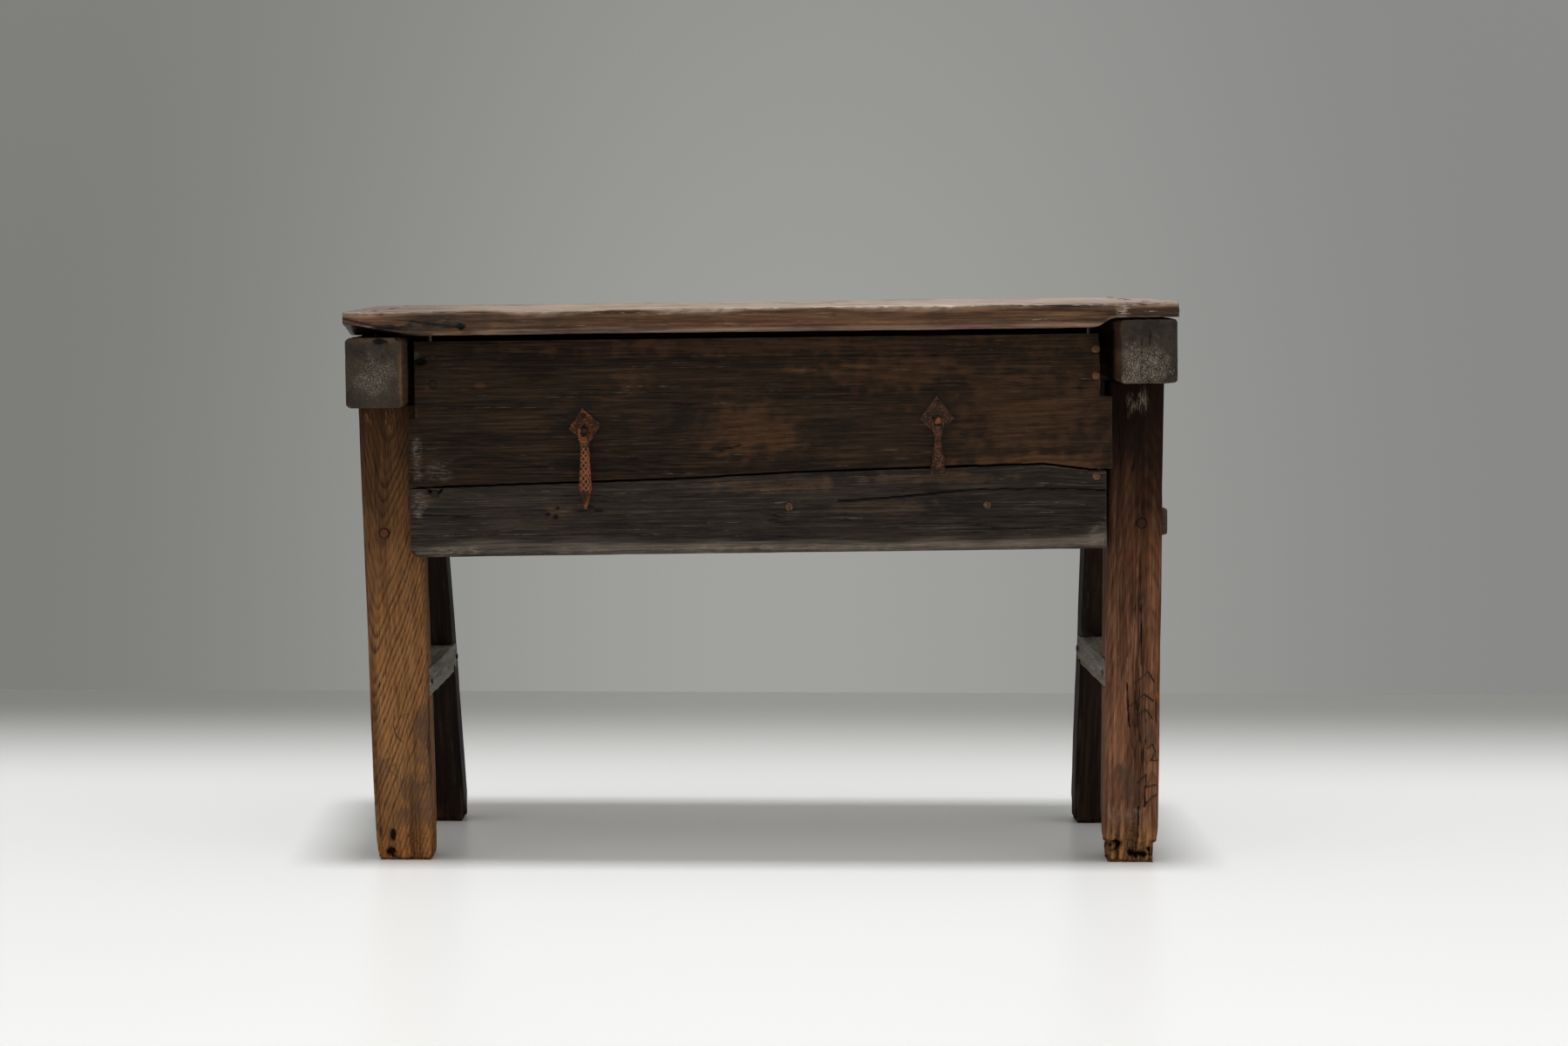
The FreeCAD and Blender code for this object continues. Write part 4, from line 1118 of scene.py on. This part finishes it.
@dataclass
class Legs(SubAssembly):
    """The four splayed legs and the pegs in them."""

    wear: Wear = Wear(arris=0.2, chips=0.8, rounds=14, hew=0.0012, furrow=0.0006)
    peg_wear: Wear = Wear(rounds=2, hew=0.0002, furrow=0.0001)
    peg_cell: Pair = (0.002, 0.0012)
    front_cell: Pair = (0.0018, 0.0012)
    back_cell: Pair = (0.0040, 0.0016)
    golden: WoodFinish = WoodFinish(
        "golden_leg_wood", dark=tone(44, 25, 13), mid=tone(140, 97, 60), pale=tone(162, 118, 76),
        worn=tone(164, 120, 76), rot=tone(156, 104, 60), soot_and_shade=tone(30, 22, 17), bruise=tone(72, 55, 48),
        rings=Rings((-0.024, -0.040), drift=0.10, taper=-0.30, gap=0.0058, sway=0.014, share=1.0),
        # The painted shade darkens this leg towards its top.
        streaks=0.5, cracks=0.35, grime=0.3, painted_shade_from=-0.16, painted_shade_to=0.40, painted_shade=0.9, roughness=0.58,
        gloss=0.02)
    ruddy: WoodFinish = WoodFinish(
        "ruddy_leg_wood", dark=tone(38, 23, 15), mid=tone(115, 76, 55), pale=tone(146, 102, 76),
        worn=tone(140, 126, 110), amber=tone(116, 66, 33), rot=tone(172, 124, 76), soot_and_shade=tone(19, 13, 10),
        bruise=tone(66, 50, 43),
        rings=Rings((0.020, -0.042), drift=-0.03, taper=0.30, gap=0.0085, sway=0.014, share=0.6),
        # The painted shade darkens this leg towards its top.
        cracks=0.45, grime=0.35, painted_shade_from=-0.10, painted_shade_to=0.24, painted_shade=0.97, roughness=0.5, gloss=0.02)
    dusky: WoodFinish = WoodFinish(
        "dusky_leg_wood", dark=tone(17, 11, 8), mid=tone(30, 21, 16), pale=tone(46, 34, 27),
        worn=tone(84, 74, 66), rot=tone(60, 42, 28), rings=Rings((0.03, 0.06), taper=0.1, share=0.35),
        cracks=0.5, grime=0.5, gloss=0.04)
    peg_finish: WoodFinish = WoodFinish(
        "peg_wood", dark=tone(58, 31, 18), mid=tone(92, 52, 31), pale=tone(112, 68, 42),
        worn=tone(120, 78, 50), end=tone(92, 52, 32), soot_and_shade=tone(44, 25, 15), bruise=tone(72, 60, 53),
        rings=Rings((0.0, 0.0), gap=0.004, share=0.3), cracks=0.2)
    right_peg_mark: Mark = Mark(Tint.STAIN, (0.502, 0.448), (0.04, 0.04), 1.0)
    left_marks: tuple[Mark, ...] = (
        Mark(Tint.STAIN, (-0.5046, 0.4381), (0.015, 0.018), 0.6),
        Mark(Tint.SCUFF, (-0.525, 0.592), (0.009, 0.013), 0.6),
        Mark(Tint.SCUFF, (-0.494, 0.594), (0.009, 0.022), 0.5),
        Mark(Tint.STAIN, (-0.453, 0.204), (0.016, 0.030), 0.55),
        Mark(Tint.STAIN, (-0.450, 0.175), (0.020, 0.050), 0.6),
        Mark(Tint.STAIN, (-0.451, 0.138), (0.026, 0.055), 0.55),
        Mark(Tint.STAIN, (-0.454, 0.085), (0.026, 0.045), 0.55),
        Mark(Tint.STAIN, (-0.476, 0.106), (0.018, 0.030), 0.5),
        Mark(Tint.STAIN, (-0.479, 0.060), (0.022, 0.024), 0.5),
        Mark(Tint.STAIN, (-0.507, 0.129), (0.012, 0.024), 0.5))
    left_cuts: tuple[Cut, ...] = (
        Pit((-0.497, 0.041), (0.0045, 0.010), 0.006, 1.0),
        Pit((-0.500, 0.020), (0.009, 0.007), 0.006, 1.0),
        Pit((-0.514, 0.045), (0.003, 0.016), 0.002, 0.8),
        Crack(((-0.493, 0.208), (-0.495, 0.185), (-0.492, 0.174), (-0.484, 0.166)), 0.0015, 0.0012, 0.75),
        Crack(((-0.487, 0.196), (-0.483, 0.200), (-0.474, 0.202)), 0.0015, 0.0012, 0.75),
        Crack(((-0.445, 0.232), (-0.446, 0.190), (-0.450, 0.162), (-0.444, 0.130)), 0.0015, 0.0016, 0.85),
        Crack(((-0.443, 0.112), (-0.456, 0.109)), 0.0015, 0.0012, 0.75),
        Crack(((-0.505, 0.141), (-0.495, 0.145)), 0.0018, 0.0008, 0.7),
        Crack(((-0.501, 0.132), (-0.493, 0.136)), 0.0018, 0.0008, 0.7),
        Crack(((-0.499, 0.126), (-0.489, 0.118)), 0.0018, 0.0008, 0.7))
    right_marks: tuple[Mark, ...] = (
        Mark(Tint.SCUFF, (0.490, 0.602), (0.009, 0.022), 0.75),
        Mark(Tint.SCUFF, (0.5065, 0.604), (0.009, 0.024), 0.75),
        Mark(Tint.AMBER, (0.514, 0.535), (0.018, 0.040), 0.5),
        Mark(Tint.AMBER, (0.498, 0.489), (0.022, 0.040), 0.6),
        Mark(Tint.AMBER, (0.503, 0.415), (0.030, 0.075), 0.7),
        Mark(Tint.STAIN, (0.502, 0.448), (0.012, 0.014), 0.6),
        Mark(Tint.STAIN, (0.478, 0.092), (0.034, 0.040), 0.6),
        Mark(Tint.STAIN, (0.505, 0.160), (0.016, 0.040), 0.45),
        Mark(Tint.SCUFF, (0.473, 0.055), (0.034, 0.018), 0.6),
        Mark(Tint.AMBER, (0.520, 0.209), (0.007, 0.010), 1.0))
    right_cuts: tuple[Cut, ...] = (
        Crack(((0.501, 0.330), (0.501, 0.254)), 0.0012),
        Crack(((0.481, 0.230), (0.482, 0.194), (0.484, 0.172)), 0.0014),
        Crack(((0.494, 0.205), (0.494, 0.172)), 0.0011),
        Crack(((0.503, 0.092), (0.503, 0.066)), 0.0013),
        Crack(((0.494, 0.066), (0.493, 0.025)), 0.0013),
        Crack(((0.489, 0.229), (0.501, 0.237), (0.509, 0.245), (0.517, 0.231)), 0.0018, 0.0012, 0.9),
        Crack(((0.484, 0.199), (0.493, 0.206), (0.503, 0.215), (0.516, 0.206)), 0.0020, 0.0014, 0.9),
        Crack(((0.493, 0.187), (0.506, 0.194), (0.514, 0.183)), 0.0018, 0.0012, 0.9),
        Crack(((0.507, 0.143), (0.514, 0.149), (0.518, 0.138), (0.511, 0.126), (0.521, 0.127)),
              0.0018, 0.0014, 0.9),
        Crack(((0.493, 0.097), (0.505, 0.108), (0.504, 0.092), (0.519, 0.094)), 0.0020, 0.0016, 0.9),
        Crack(((0.501, 0.066), (0.511, 0.077), (0.518, 0.081)), 0.0020, 0.0016, 0.9),
        Pit((0.463, 0.014), (0.012, 0.008), 0.010, 1.0),
        Pit((0.494, 0.001), (0.014, 0.006), 0.008, 1.0))

    def legs(self) -> list[Leg]:
        """Lists the legs.

        Returns:
            The legs, each with its lean and its look.
        """
        return [
            Leg(End.FRONT, Side.LEFT, toe_in=1.4, rot=0.055, lip=0.006, finish=self.golden,
                marks=self.left_marks, cuts=self.left_cuts),
            Leg(End.FRONT, Side.RIGHT, toe_in=1.4, rot=0.050, lip=0.029, finish=self.ruddy,
                marks=self.right_marks, cuts=self.right_cuts),
            Leg(End.BACK, Side.LEFT, toe_in=3.0, rot=0.03, lip=0.004, finish=self.dusky),
            Leg(End.BACK, Side.RIGHT, toe_in=2.3, rot=0.03, lip=0.004, finish=self.dusky)]

    def build(self) -> None:
        """Carves the legs and the pegs."""
        for seed, leg in enumerate(self.legs(), 11):
            wear = replace(self.wear, rot=leg.rot, lip=leg.lip)
            cell = self.front_cell if leg.end is End.FRONT else self.back_cell
            timber = Timber(leg.node(), Slot.LEGS, leg.direction(), ALONG_TABLE, seed, wear, cell,
                            marks=leg.marks, cuts=leg.cuts)
            self.pieces.append((timber.build(), leg.finish))
        pegs = Timber("rail_pegs", Slot.LEGS, ACROSS_TABLE, ALONG_TABLE, 17, self.peg_wear, self.peg_cell,
                      marks=(self.right_peg_mark,))
        self.pieces.append((pegs.build(), self.peg_finish))


DRY_WEAR = Wear(arris=0.4, chips=0.4, rounds=8, hew=0.0008, furrow=0.0003)
DRY_BROWN = WoodFinish(
    "dry_brown_wood", dark=tone(56, 40, 28), mid=tone(94, 70, 48), pale=tone(124, 96, 68),
    worn=tone(140, 112, 82), rings=Rings((0.02, 0.15)), cracks=0.3, grime=0.3, roughness=0.7)


@dataclass
class Framing(SubAssembly):
    """The stretchers, rails, runners and back board between the legs, in dry unpolished wood."""

    wear: Wear = DRY_WEAR
    cell: Pair = (0.006, 0.0024)
    runner_cell: Pair = (0.010, 0.0040)
    grey: WoodFinish = WoodFinish(
        "dry_grey_wood", dark=tone(78, 73, 65), mid=tone(132, 126, 116), pale=tone(154, 148, 137),
        worn=tone(166, 159, 148), rings=Rings((0.02, 0.06), taper=0.2, gap=0.005, share=0.7),
        cracks=0.45, grime=0.3, roughness=0.75)
    weathered: WoodFinish = WoodFinish(
        "weathered_rail_wood", dark=tone(36, 28, 22), mid=tone(60, 48, 38), pale=tone(80, 65, 52),
        worn=tone(104, 94, 84), end=tone(58, 51, 45), rings=Rings((0.02, 0.15)), cracks=0.4, grime=0.4,
        roughness=0.7)
    brown: WoodFinish = DRY_BROWN
    STRETCHERS: ClassVar[tuple[str, ...]] = ("left_stretcher", "right_stretcher")
    RAILS: ClassVar[tuple[str, ...]] = ("front_rail", "back_rail")
    RUNNERS: ClassVar[tuple[str, ...]] = ("left_runner", "right_runner")

    def build(self) -> None:
        """Carves the stretchers, the rails, the runners and the back board."""
        slope = (-math.sin(LEAN) * math.cos(SPLAY), -math.sin(SPLAY), math.cos(LEAN) * math.cos(SPLAY))
        stretchers = [Timber(node, Slot.STRETCHERS, ACROSS_TABLE, ALONG_TABLE, seed, self.wear, self.cell)
                      for seed, node in enumerate(self.STRETCHERS, 21)]
        rails = [Timber(node, Slot.INNER, ALONG_TABLE, ACROSS_TABLE, seed, self.wear, self.cell)
                 for seed, node in enumerate(self.RAILS, 25)]
        runners = [Timber(node, Slot.INNER, ACROSS_TABLE, ALONG_TABLE, seed, self.wear, self.runner_cell)
                   for seed, node in enumerate(self.RUNNERS, 27)]
        back = Timber("back_board", Slot.INNER, ALONG_TABLE, slope, 35, self.wear, self.cell)
        self.pieces = [(timber.build(), self.grey) for timber in stretchers]
        self.pieces += [(timber.build(), self.weathered) for timber in rails]
        self.pieces += [(timber.build(), self.brown) for timber in (*runners, back)]


@dataclass
class DrawerBox(SubAssembly):
    """The sides, bottom and back of the drawer, in dry brown wood."""

    wear: Wear = DRY_WEAR
    cell: Pair = (0.010, 0.0040)
    finish: WoodFinish = DRY_BROWN
    SIDES: ClassVar[tuple[str, ...]] = ("drawer_left_side", "drawer_right_side")
    BOTTOMS: ClassVar[tuple[str, ...]] = ("drawer_bottom_front_board", "drawer_bottom_rear_board")

    def board(self, node: str, along: Triple, across: Triple, seed: int) -> Timber:
        """One board of the box."""
        return Timber(node, Slot.INNER, along, across, seed, self.wear, self.cell, Body.DRAWER)

    def build(self) -> None:
        """Carves the boards of the box."""
        boards = [self.board(node, ACROSS_TABLE, UP_TABLE, seed) for seed, node in enumerate(self.SIDES, 29)]
        boards += [self.board(node, ALONG_TABLE, ACROSS_TABLE, seed)
                   for seed, node in enumerate(self.BOTTOMS, 33)]
        boards.append(self.board("drawer_back", ALONG_TABLE, UP_TABLE, 31))
        self.pieces = [(board.build(), self.finish) for board in boards]


@dataclass
class DrawerFront(SubAssembly):
    """The two boards of the drawer front, nearly black with brown streaks."""

    wear: Wear = Wear(
        arris=0.1, chips=0.6, chip_length=0.03, rounds=8, hew=0.0010, hew_length=0.25, furrow=0.0004)
    cell: Pair = (0.0030, 0.0013)
    upper_finish: WoodFinish = WoodFinish(
        "upper_front_wood", dark=tone(18, 15, 13), mid=tone(40, 31, 22), pale=tone(74, 54, 38),
        worn=tone(124, 114, 103), amber=tone(92, 62, 39), end=tone(54, 46, 39), soot_and_shade=tone(17, 15, 14),
        bruise=tone(24, 22, 20), rings=Rings((0.02, 0.045), taper=0.05, gap=0.0075, sway=0.02, share=0.5),
        streaks=0.6, fine=1.8, cracks=0.2, grime=0.55, roughness=0.55, gloss=0.04)
    lower_finish: WoodFinish = WoodFinish(
        "lower_front_wood", dark=tone(18, 16, 15), mid=tone(42, 36, 31), pale=tone(77, 66, 57),
        worn=tone(138, 127, 115), amber=tone(84, 62, 43), end=tone(58, 51, 45), soot_and_shade=tone(19, 17, 16),
        bruise=tone(24, 22, 20), rings=Rings((0.05, 0.05), taper=0.04, gap=0.0075, sway=0.02, share=0.4),
        streaks=0.65, fine=1.8, cracks=0.3, grime=0.5, roughness=0.52, gloss=0.06)
    upper_marks: tuple[Mark, ...] = (
        Mark(Tint.SCUFF, (-0.4572, 0.6777), (0.008, 0.006), 0.6),
        Mark(Tint.SCUFF, (-0.4562, 0.5450), (0.007, 0.048), 0.8),
        Mark(Tint.SCUFF, (-0.4256, 0.5257), (0.024, 0.018), 0.4),
        Mark(Tint.AMBER, (-0.1712, 0.6374), (0.036, 0.022), 0.8),
        Mark(Tint.AMBER, (-0.0168, 0.5750), (0.100, 0.045), 0.7),
        Mark(Tint.AMBER, (0.35, 0.600), (0.170, 0.075), 0.5),
        Mark(Tint.AMBER, (0.37, 0.527), (0.150, 0.016), 0.9),
        Mark(Tint.AMBER, (0.05, 0.685), (0.46, 0.014), 0.6),
        Mark(Tint.AMBER, (0.18, 0.650), (0.130, 0.030), 0.6),
        Mark(Tint.AMBER, (-0.4420, 0.6339), (0.007, 0.005), 1.0),
        Mark(Tint.AMBER, (-0.3720, 0.6365), (0.010, 0.006), 0.7),
        # Darker patches round the two pulls.
        Mark(Tint.STAIN, (-0.2352, 0.5842), (0.032, 0.045), 0.6),
        Mark(Tint.STAIN, (0.2328, 0.5920), (0.032, 0.045), 0.6),
        Mark(Tint.STAIN, (-0.10, 0.590), (0.06, 0.03), 0.6),
        Mark(Tint.STAIN, (0.09, 0.575), (0.06, 0.03), 0.5),
        Mark(Tint.AMBER, (0.048, 0.653), (0.035, 0.006), 1.0),
        Mark(Tint.AMBER, (0.125, 0.655), (0.030, 0.005), 1.0))
    lower_marks: tuple[Mark, ...] = (
        Mark(Tint.AMBER, (-0.4439, 0.4900), (0.022, 0.010), 0.8),
        Mark(Tint.STAIN, (-0.2300, 0.4700), (0.035, 0.003), 1.0),
        Mark(Tint.SCUFF, (-0.4540, 0.4800), (0.012, 0.022), 0.6),
        Mark(Tint.SCUFF, (-0.4150, 0.4180), (0.060, 0.011), 0.7),
        Mark(Tint.SCUFF, (0.0, 0.4130), (0.56, 0.009), 0.5),
        Mark(Tint.AMBER, (0.15, 0.4120), (0.40, 0.010), 0.9),
        Mark(Tint.AMBER, (0.0281, 0.5020), (0.110, 0.013), 0.9),
        Mark(Tint.AMBER, (0.22, 0.5080), (0.130, 0.009), 0.8),
        Mark(Tint.AMBER, (0.16, 0.4700), (0.09, 0.016), 0.6),
        Mark(Tint.AMBER, (-0.272, 0.4720), (0.026, 0.014), 0.7),
        Mark(Tint.SCUFF, (0.445, 0.430), (0.020, 0.030), 0.5))
    nail_holes: tuple[Pit, ...] = (
        Pit((-0.2853, 0.4662), (0.005, 0.004), 0.003),
        Pit((-0.2713, 0.4746), (0.004, 0.004), 0.003),
        Pit((-0.2750, 0.4626), (0.004, 0.004), 0.003))
    knot_hole: Pit = Pit((-0.4353, 0.5000), (0.012, 0.0055), 0.010)
    old_hole: Pit = Pit((-0.4516, 0.6696), (0.010, 0.0055), 0.004)
    long_crack: Crack = Crack(
        ((0.100, 0.4790), (0.1661, 0.4823), (0.2710, 0.4913), (0.3909, 0.4920), (0.4566, 0.4877),
         (0.466, 0.480)), 0.0017, 0.0035)
    worn_edge: float = 0.027
    short_crack: Crack = Crack(((-0.4500, 0.4680), (-0.390, 0.4640)), 0.0013, 0.0015)

    def build(self) -> None:
        """Carves both boards."""
        shared = (self.wear, self.cell, Body.DRAWER)
        upper = FrontBoard("drawer_front_upper_board", Slot.FRONT, ALONG_TABLE, UP_TABLE, 41, *shared,
                           self.upper_marks, (self.knot_hole, self.old_hole))
        lower_cuts = (self.knot_hole, *self.nail_holes, self.long_crack, self.short_crack)
        lower = FrontBoard("drawer_front_lower_board", Slot.FRONT, ALONG_TABLE, UP_TABLE, 42, *shared,
                           self.lower_marks, lower_cuts, self.worn_edge)
        self.pieces = [(upper.build(), self.upper_finish), (lower.build(), self.lower_finish)]


@dataclass
class Ironwork(SubAssembly):
    """The pulls and all nails."""

    pulls: IronFinish = IronFinish(
        "rusted_pull_iron", iron=tone(38, 24, 16), rust=tone(96, 51, 26), bloom=tone(148, 94, 60),
        rusted=0.62)
    club: IronFinish = IronFinish(
        "dark_pull_iron", iron=tone(34, 21, 13), rust=tone(64, 39, 25), bloom=tone(122, 82, 58),
        rusted=0.65)
    black: IronFinish = IronFinish(
        "black_plate_iron", iron=tone(36, 26, 20), rust=tone(68, 43, 28), bloom=tone(110, 84, 66),
        rusted=0.6)
    nails: IronFinish = IronFinish(
        "dark_nail_iron", iron=tone(30, 24, 20), rust=tone(86, 60, 44), bloom=tone(114, 84, 64),
        rusted=0.1, right_rust=0.30)
    straps: IronFinish = IronFinish(
        "dark_strap_iron", iron=tone(30, 20, 15), rust=tone(66, 38, 24), bloom=tone(110, 70, 48),
        rusted=0.4)
    staple: IronFinish = IronFinish(
        "rusted_strap_iron", iron=tone(40, 25, 17), rust=tone(104, 60, 36), bloom=tone(152, 106, 76),
        rusted=0.7)
    drop_cell: float = 0.00062
    pin_cell: float = 0.0006
    plate_cell: float = 0.0007
    drawer_nail_cell: float = 0.0010
    frame_nail_cell: float = 0.0012
    club_swell: float = 0.0013
    DRAWER_NAILS: ClassVar[tuple[str, ...]] = ("drawer_front_nails", "drawer_box_nails", "pull_plate_nails")
    FRAME_NAILS: ClassVar[tuple[str, ...]] = ("top_nails", "stretcher_nails", "back_board_nails")

    def build(self) -> None:
        """Forges the pulls and the nails."""
        pulls = []
        for seed, side in enumerate(Side, 51):
            name = side.name.lower()
            body = Body(f"{name}_drop")
            swell = self.club_swell if side is Side.RIGHT else 0.0
            pulls.append(Forging(f"{name}_drop", body, seed, self.drop_cell, rounds=4,
                                 hatched=side is Side.LEFT, swell=swell))
            pulls.append(Forging(f"{name}_drop_pin", body, seed + 2, self.pin_cell, rounds=1,
                                 dents=0.0001, pits=0.0001))
            pulls.append(Forging(f"{name}_pull_plate", Body.DRAWER, seed + 4, self.plate_cell, rounds=2,
                                 dents=0.0003, pits=0.0002))
            pulls.append(Forging(f"{name}_pull_strap", Body.DRAWER, seed + 6, self.plate_cell, rounds=2,
                                 dents=0.0002, pits=0.0001))
        nails = [Forging(node, Body.DRAWER, seed, self.drawer_nail_cell)
                 for seed, node in enumerate(self.DRAWER_NAILS, 61)]
        nails += [Forging(node, Body.FRAME, seed, self.frame_nail_cell)
                  for seed, node in enumerate(self.FRAME_NAILS, 67)]
        looks = {"left_pull_strap": self.straps, "right_pull_strap": self.staple, "right_drop": self.club,
                 "right_pull_plate": self.black, "pull_plate_nails": self.straps}
        self.pieces = [(forging.build(), looks.get(forging.node, self.pulls)) for forging in pulls]
        self.pieces += [(forging.build(), looks.get(forging.node, self.nails)) for forging in nails]


# Studio

@dataclass(frozen=True)
class Lamp:
    """A soft square lamp: where it hangs, what it faces, its side in metres and its power in watts."""

    name: str
    place: Triple
    target: Triple
    size: float
    power: float

    def hang(self) -> None:
        """Hangs the lamp."""
        data = bpy.data.lights.new(self.name, "AREA")
        data.size, data.energy = self.size, self.power
        made = bpy.data.objects.new(self.name, data)
        made.location = self.place
        facing = Vector(self.target) - Vector(self.place)
        made.rotation_euler = facing.to_track_quat("-Z", "Y").to_euler()
        bpy.context.scene.collection.objects.link(made)


@dataclass
class Studio:
    """The pale floor, the grey wall, the soft lamps and the camera."""

    eye: Triple = (-0.0289, -5.2, 0.8043)
    yaw: float = 0.718
    pitch: float = 4.045
    roll: float = 0.30
    lens: float = 87.0
    wall_at: float = 1.75
    floor_reach: float = 14.0
    wall_height: float = 7.0
    overhead_lamp: Lamp = Lamp("overhead_lamp", (0.0, -0.9, 12.0), (0.0, -0.3, 0.0), 1.6, 890.0)
    front_lamp: Lamp = Lamp("front_lamp", (-0.6, -5.4, 2.6), (0.0, 0.0, 0.4), 3.0, 12.0)
    world_tone: Colour = tone(150, 150, 148)
    world_strength: float = 2.4

    def camera(self) -> None:
        """Sets the camera where the photograph was taken from."""
        yaw, pitch, roll = (math.radians(value) for value in (self.yaw, self.pitch, self.roll))
        ahead = Vector((math.sin(yaw) * math.cos(pitch), math.cos(yaw) * math.cos(pitch), -math.sin(pitch)))
        right = ahead.cross(Vector((0, 0, 1))).normalized()
        above = right.cross(ahead)
        tilted = right * math.cos(roll) + above * math.sin(roll)
        raised = above * math.cos(roll) - right * math.sin(roll)
        lens = bpy.data.cameras.new("camera")
        lens.lens, lens.sensor_width = self.lens, 36.0
        made = bpy.data.objects.new("camera", lens)
        turn = Matrix((tilted, raised, -ahead)).transposed().to_4x4()
        made.matrix_world = Matrix.Translation(self.eye) @ turn
        bpy.context.scene.collection.objects.link(made)
        bpy.context.scene.camera = made

    def sheet(self, name: str, corners: list[Triple], material: bpy.types.Material) -> None:
        """Lays a flat sheet of the stage.

        Args:
            name: Its name.
            corners: Its four corners.
            material: Its finish.
        """
        mesh = bpy.data.meshes.new(name)
        mesh.from_pydata(corners, [], [(0, 1, 2, 3)])
        mesh.materials.append(material)
        made = bpy.data.objects.new(name, mesh)
        bpy.context.scene.collection.objects.link(made)

    def floor_paint(self) -> bpy.types.Material:
        """Mixes glossy pale paint with painted shade that greys it towards the wall, where the light falls
        off and the wall is reflected.

        Returns:
            The finished material.
        """
        graph = Graph("floor_paint")
        place = graph.node("ShaderNodeTexCoord").outputs["Object"]
        side, depth, _ = graph.split(place)
        # Painted shade: grey towards the wall, a little lighter to the right.
        far = graph.mix(side.band(-0.9, 0.1), tone(130, 130, 127), tone(141, 141, 138))
        colour = graph.mix(depth.band(0.45, 1.6), tone(247, 247, 247), far)
        shader = graph.node("ShaderNodeBsdfPrincipled", None, {"Base Color": colour, "Roughness": 0.32})
        return graph.finish(shader)

    def wall_paint(self) -> bpy.types.Material:
        """Mixes grey paint with a painted pool of light in the middle, given off as a glow though the wall is
        no lamp, and seen from the front only.

        Returns:
            The finished material.
        """
        graph = Graph("wall_paint")
        place = graph.node("ShaderNodeTexCoord").outputs["Object"]
        side, _, up = graph.split(place)
        # Painted light: a brighter pool in the middle of the wall.
        spread = ((side - 0.05) * (side - 0.05) * 0.55 + (up - 0.1) * (up - 0.1) * 0.17).power(0.5)
        outer = graph.mix(side.band(-0.6, 0.6), tone(125, 125, 122), tone(137, 137, 135))
        outer = graph.mix(up.band(0.6, 2.2) * 0.5, outer, tone(140, 140, 138))
        colour = graph.mix(spread.band(0.0, 1.05), tone(160, 160, 157), outer)
        path = graph.node("ShaderNodeLightPath").outputs
        seen = Signal(graph, path["Is Camera Ray"]).most(Signal(graph, path["Is Glossy Ray"]))
        seen = seen.most(Signal(graph, path["Is Transmission Ray"]))
        glow = graph.node("ShaderNodeEmission", None, {"Color": colour, "Strength": 1.0})
        matt = graph.node("ShaderNodeBsdfDiffuse", None, {"Color": colour})
        front = graph.node("ShaderNodeMixShader", None, {0: seen, 1: matt.outputs[0], 2: glow.outputs[0]})
        away = graph.node("ShaderNodeNewGeometry").outputs["Backfacing"]
        clear = graph.node("ShaderNodeBsdfTransparent")
        sides = {0: away, 1: front.outputs[0], 2: clear.outputs[0]}
        shader = graph.node("ShaderNodeMixShader", None, sides)
        return graph.finish(shader)

    def build(self) -> None:
        """Sets up the lamps, the world and the camera."""
        self.overhead_lamp.hang()
        self.front_lamp.hang()
        world = bpy.data.worlds.new("studio_world")
        world.use_nodes = True
        background = world.node_tree.nodes["Background"]
        background.inputs["Color"].default_value = (*self.world_tone, 1.0)
        background.inputs["Strength"].default_value = self.world_strength
        bpy.context.scene.world = world
        bpy.context.scene.view_settings.view_transform = "Standard"
        self.camera()

    def dress(self) -> None:
        """Lays the painted floor and hangs the painted wall."""
        reach, wall = self.floor_reach, self.wall_at
        ground = [(-reach, -reach, 0), (reach, -reach, 0), (reach, reach, 0), (-reach, reach, 0)]
        rise = [(-reach, wall, 0), (reach, wall, 0), (reach, wall, self.wall_height),
                (-reach, wall, self.wall_height)]
        self.sheet("floor", ground, self.floor_paint())
        self.sheet("wall", rise, self.wall_paint())


def main() -> None:
    """Builds and dresses the table, then sets the studio round it."""
    logging.basicConfig(level=logging.INFO, format="%(message)s")
    for part in (Top(), Beams(), Legs(), Framing(), DrawerBox(), DrawerFront(), Ironwork(), Studio()):
        part.build()
        part.dress()
        log.info("%s done", type(part).__name__)


if __name__ == "__main__":
    main()
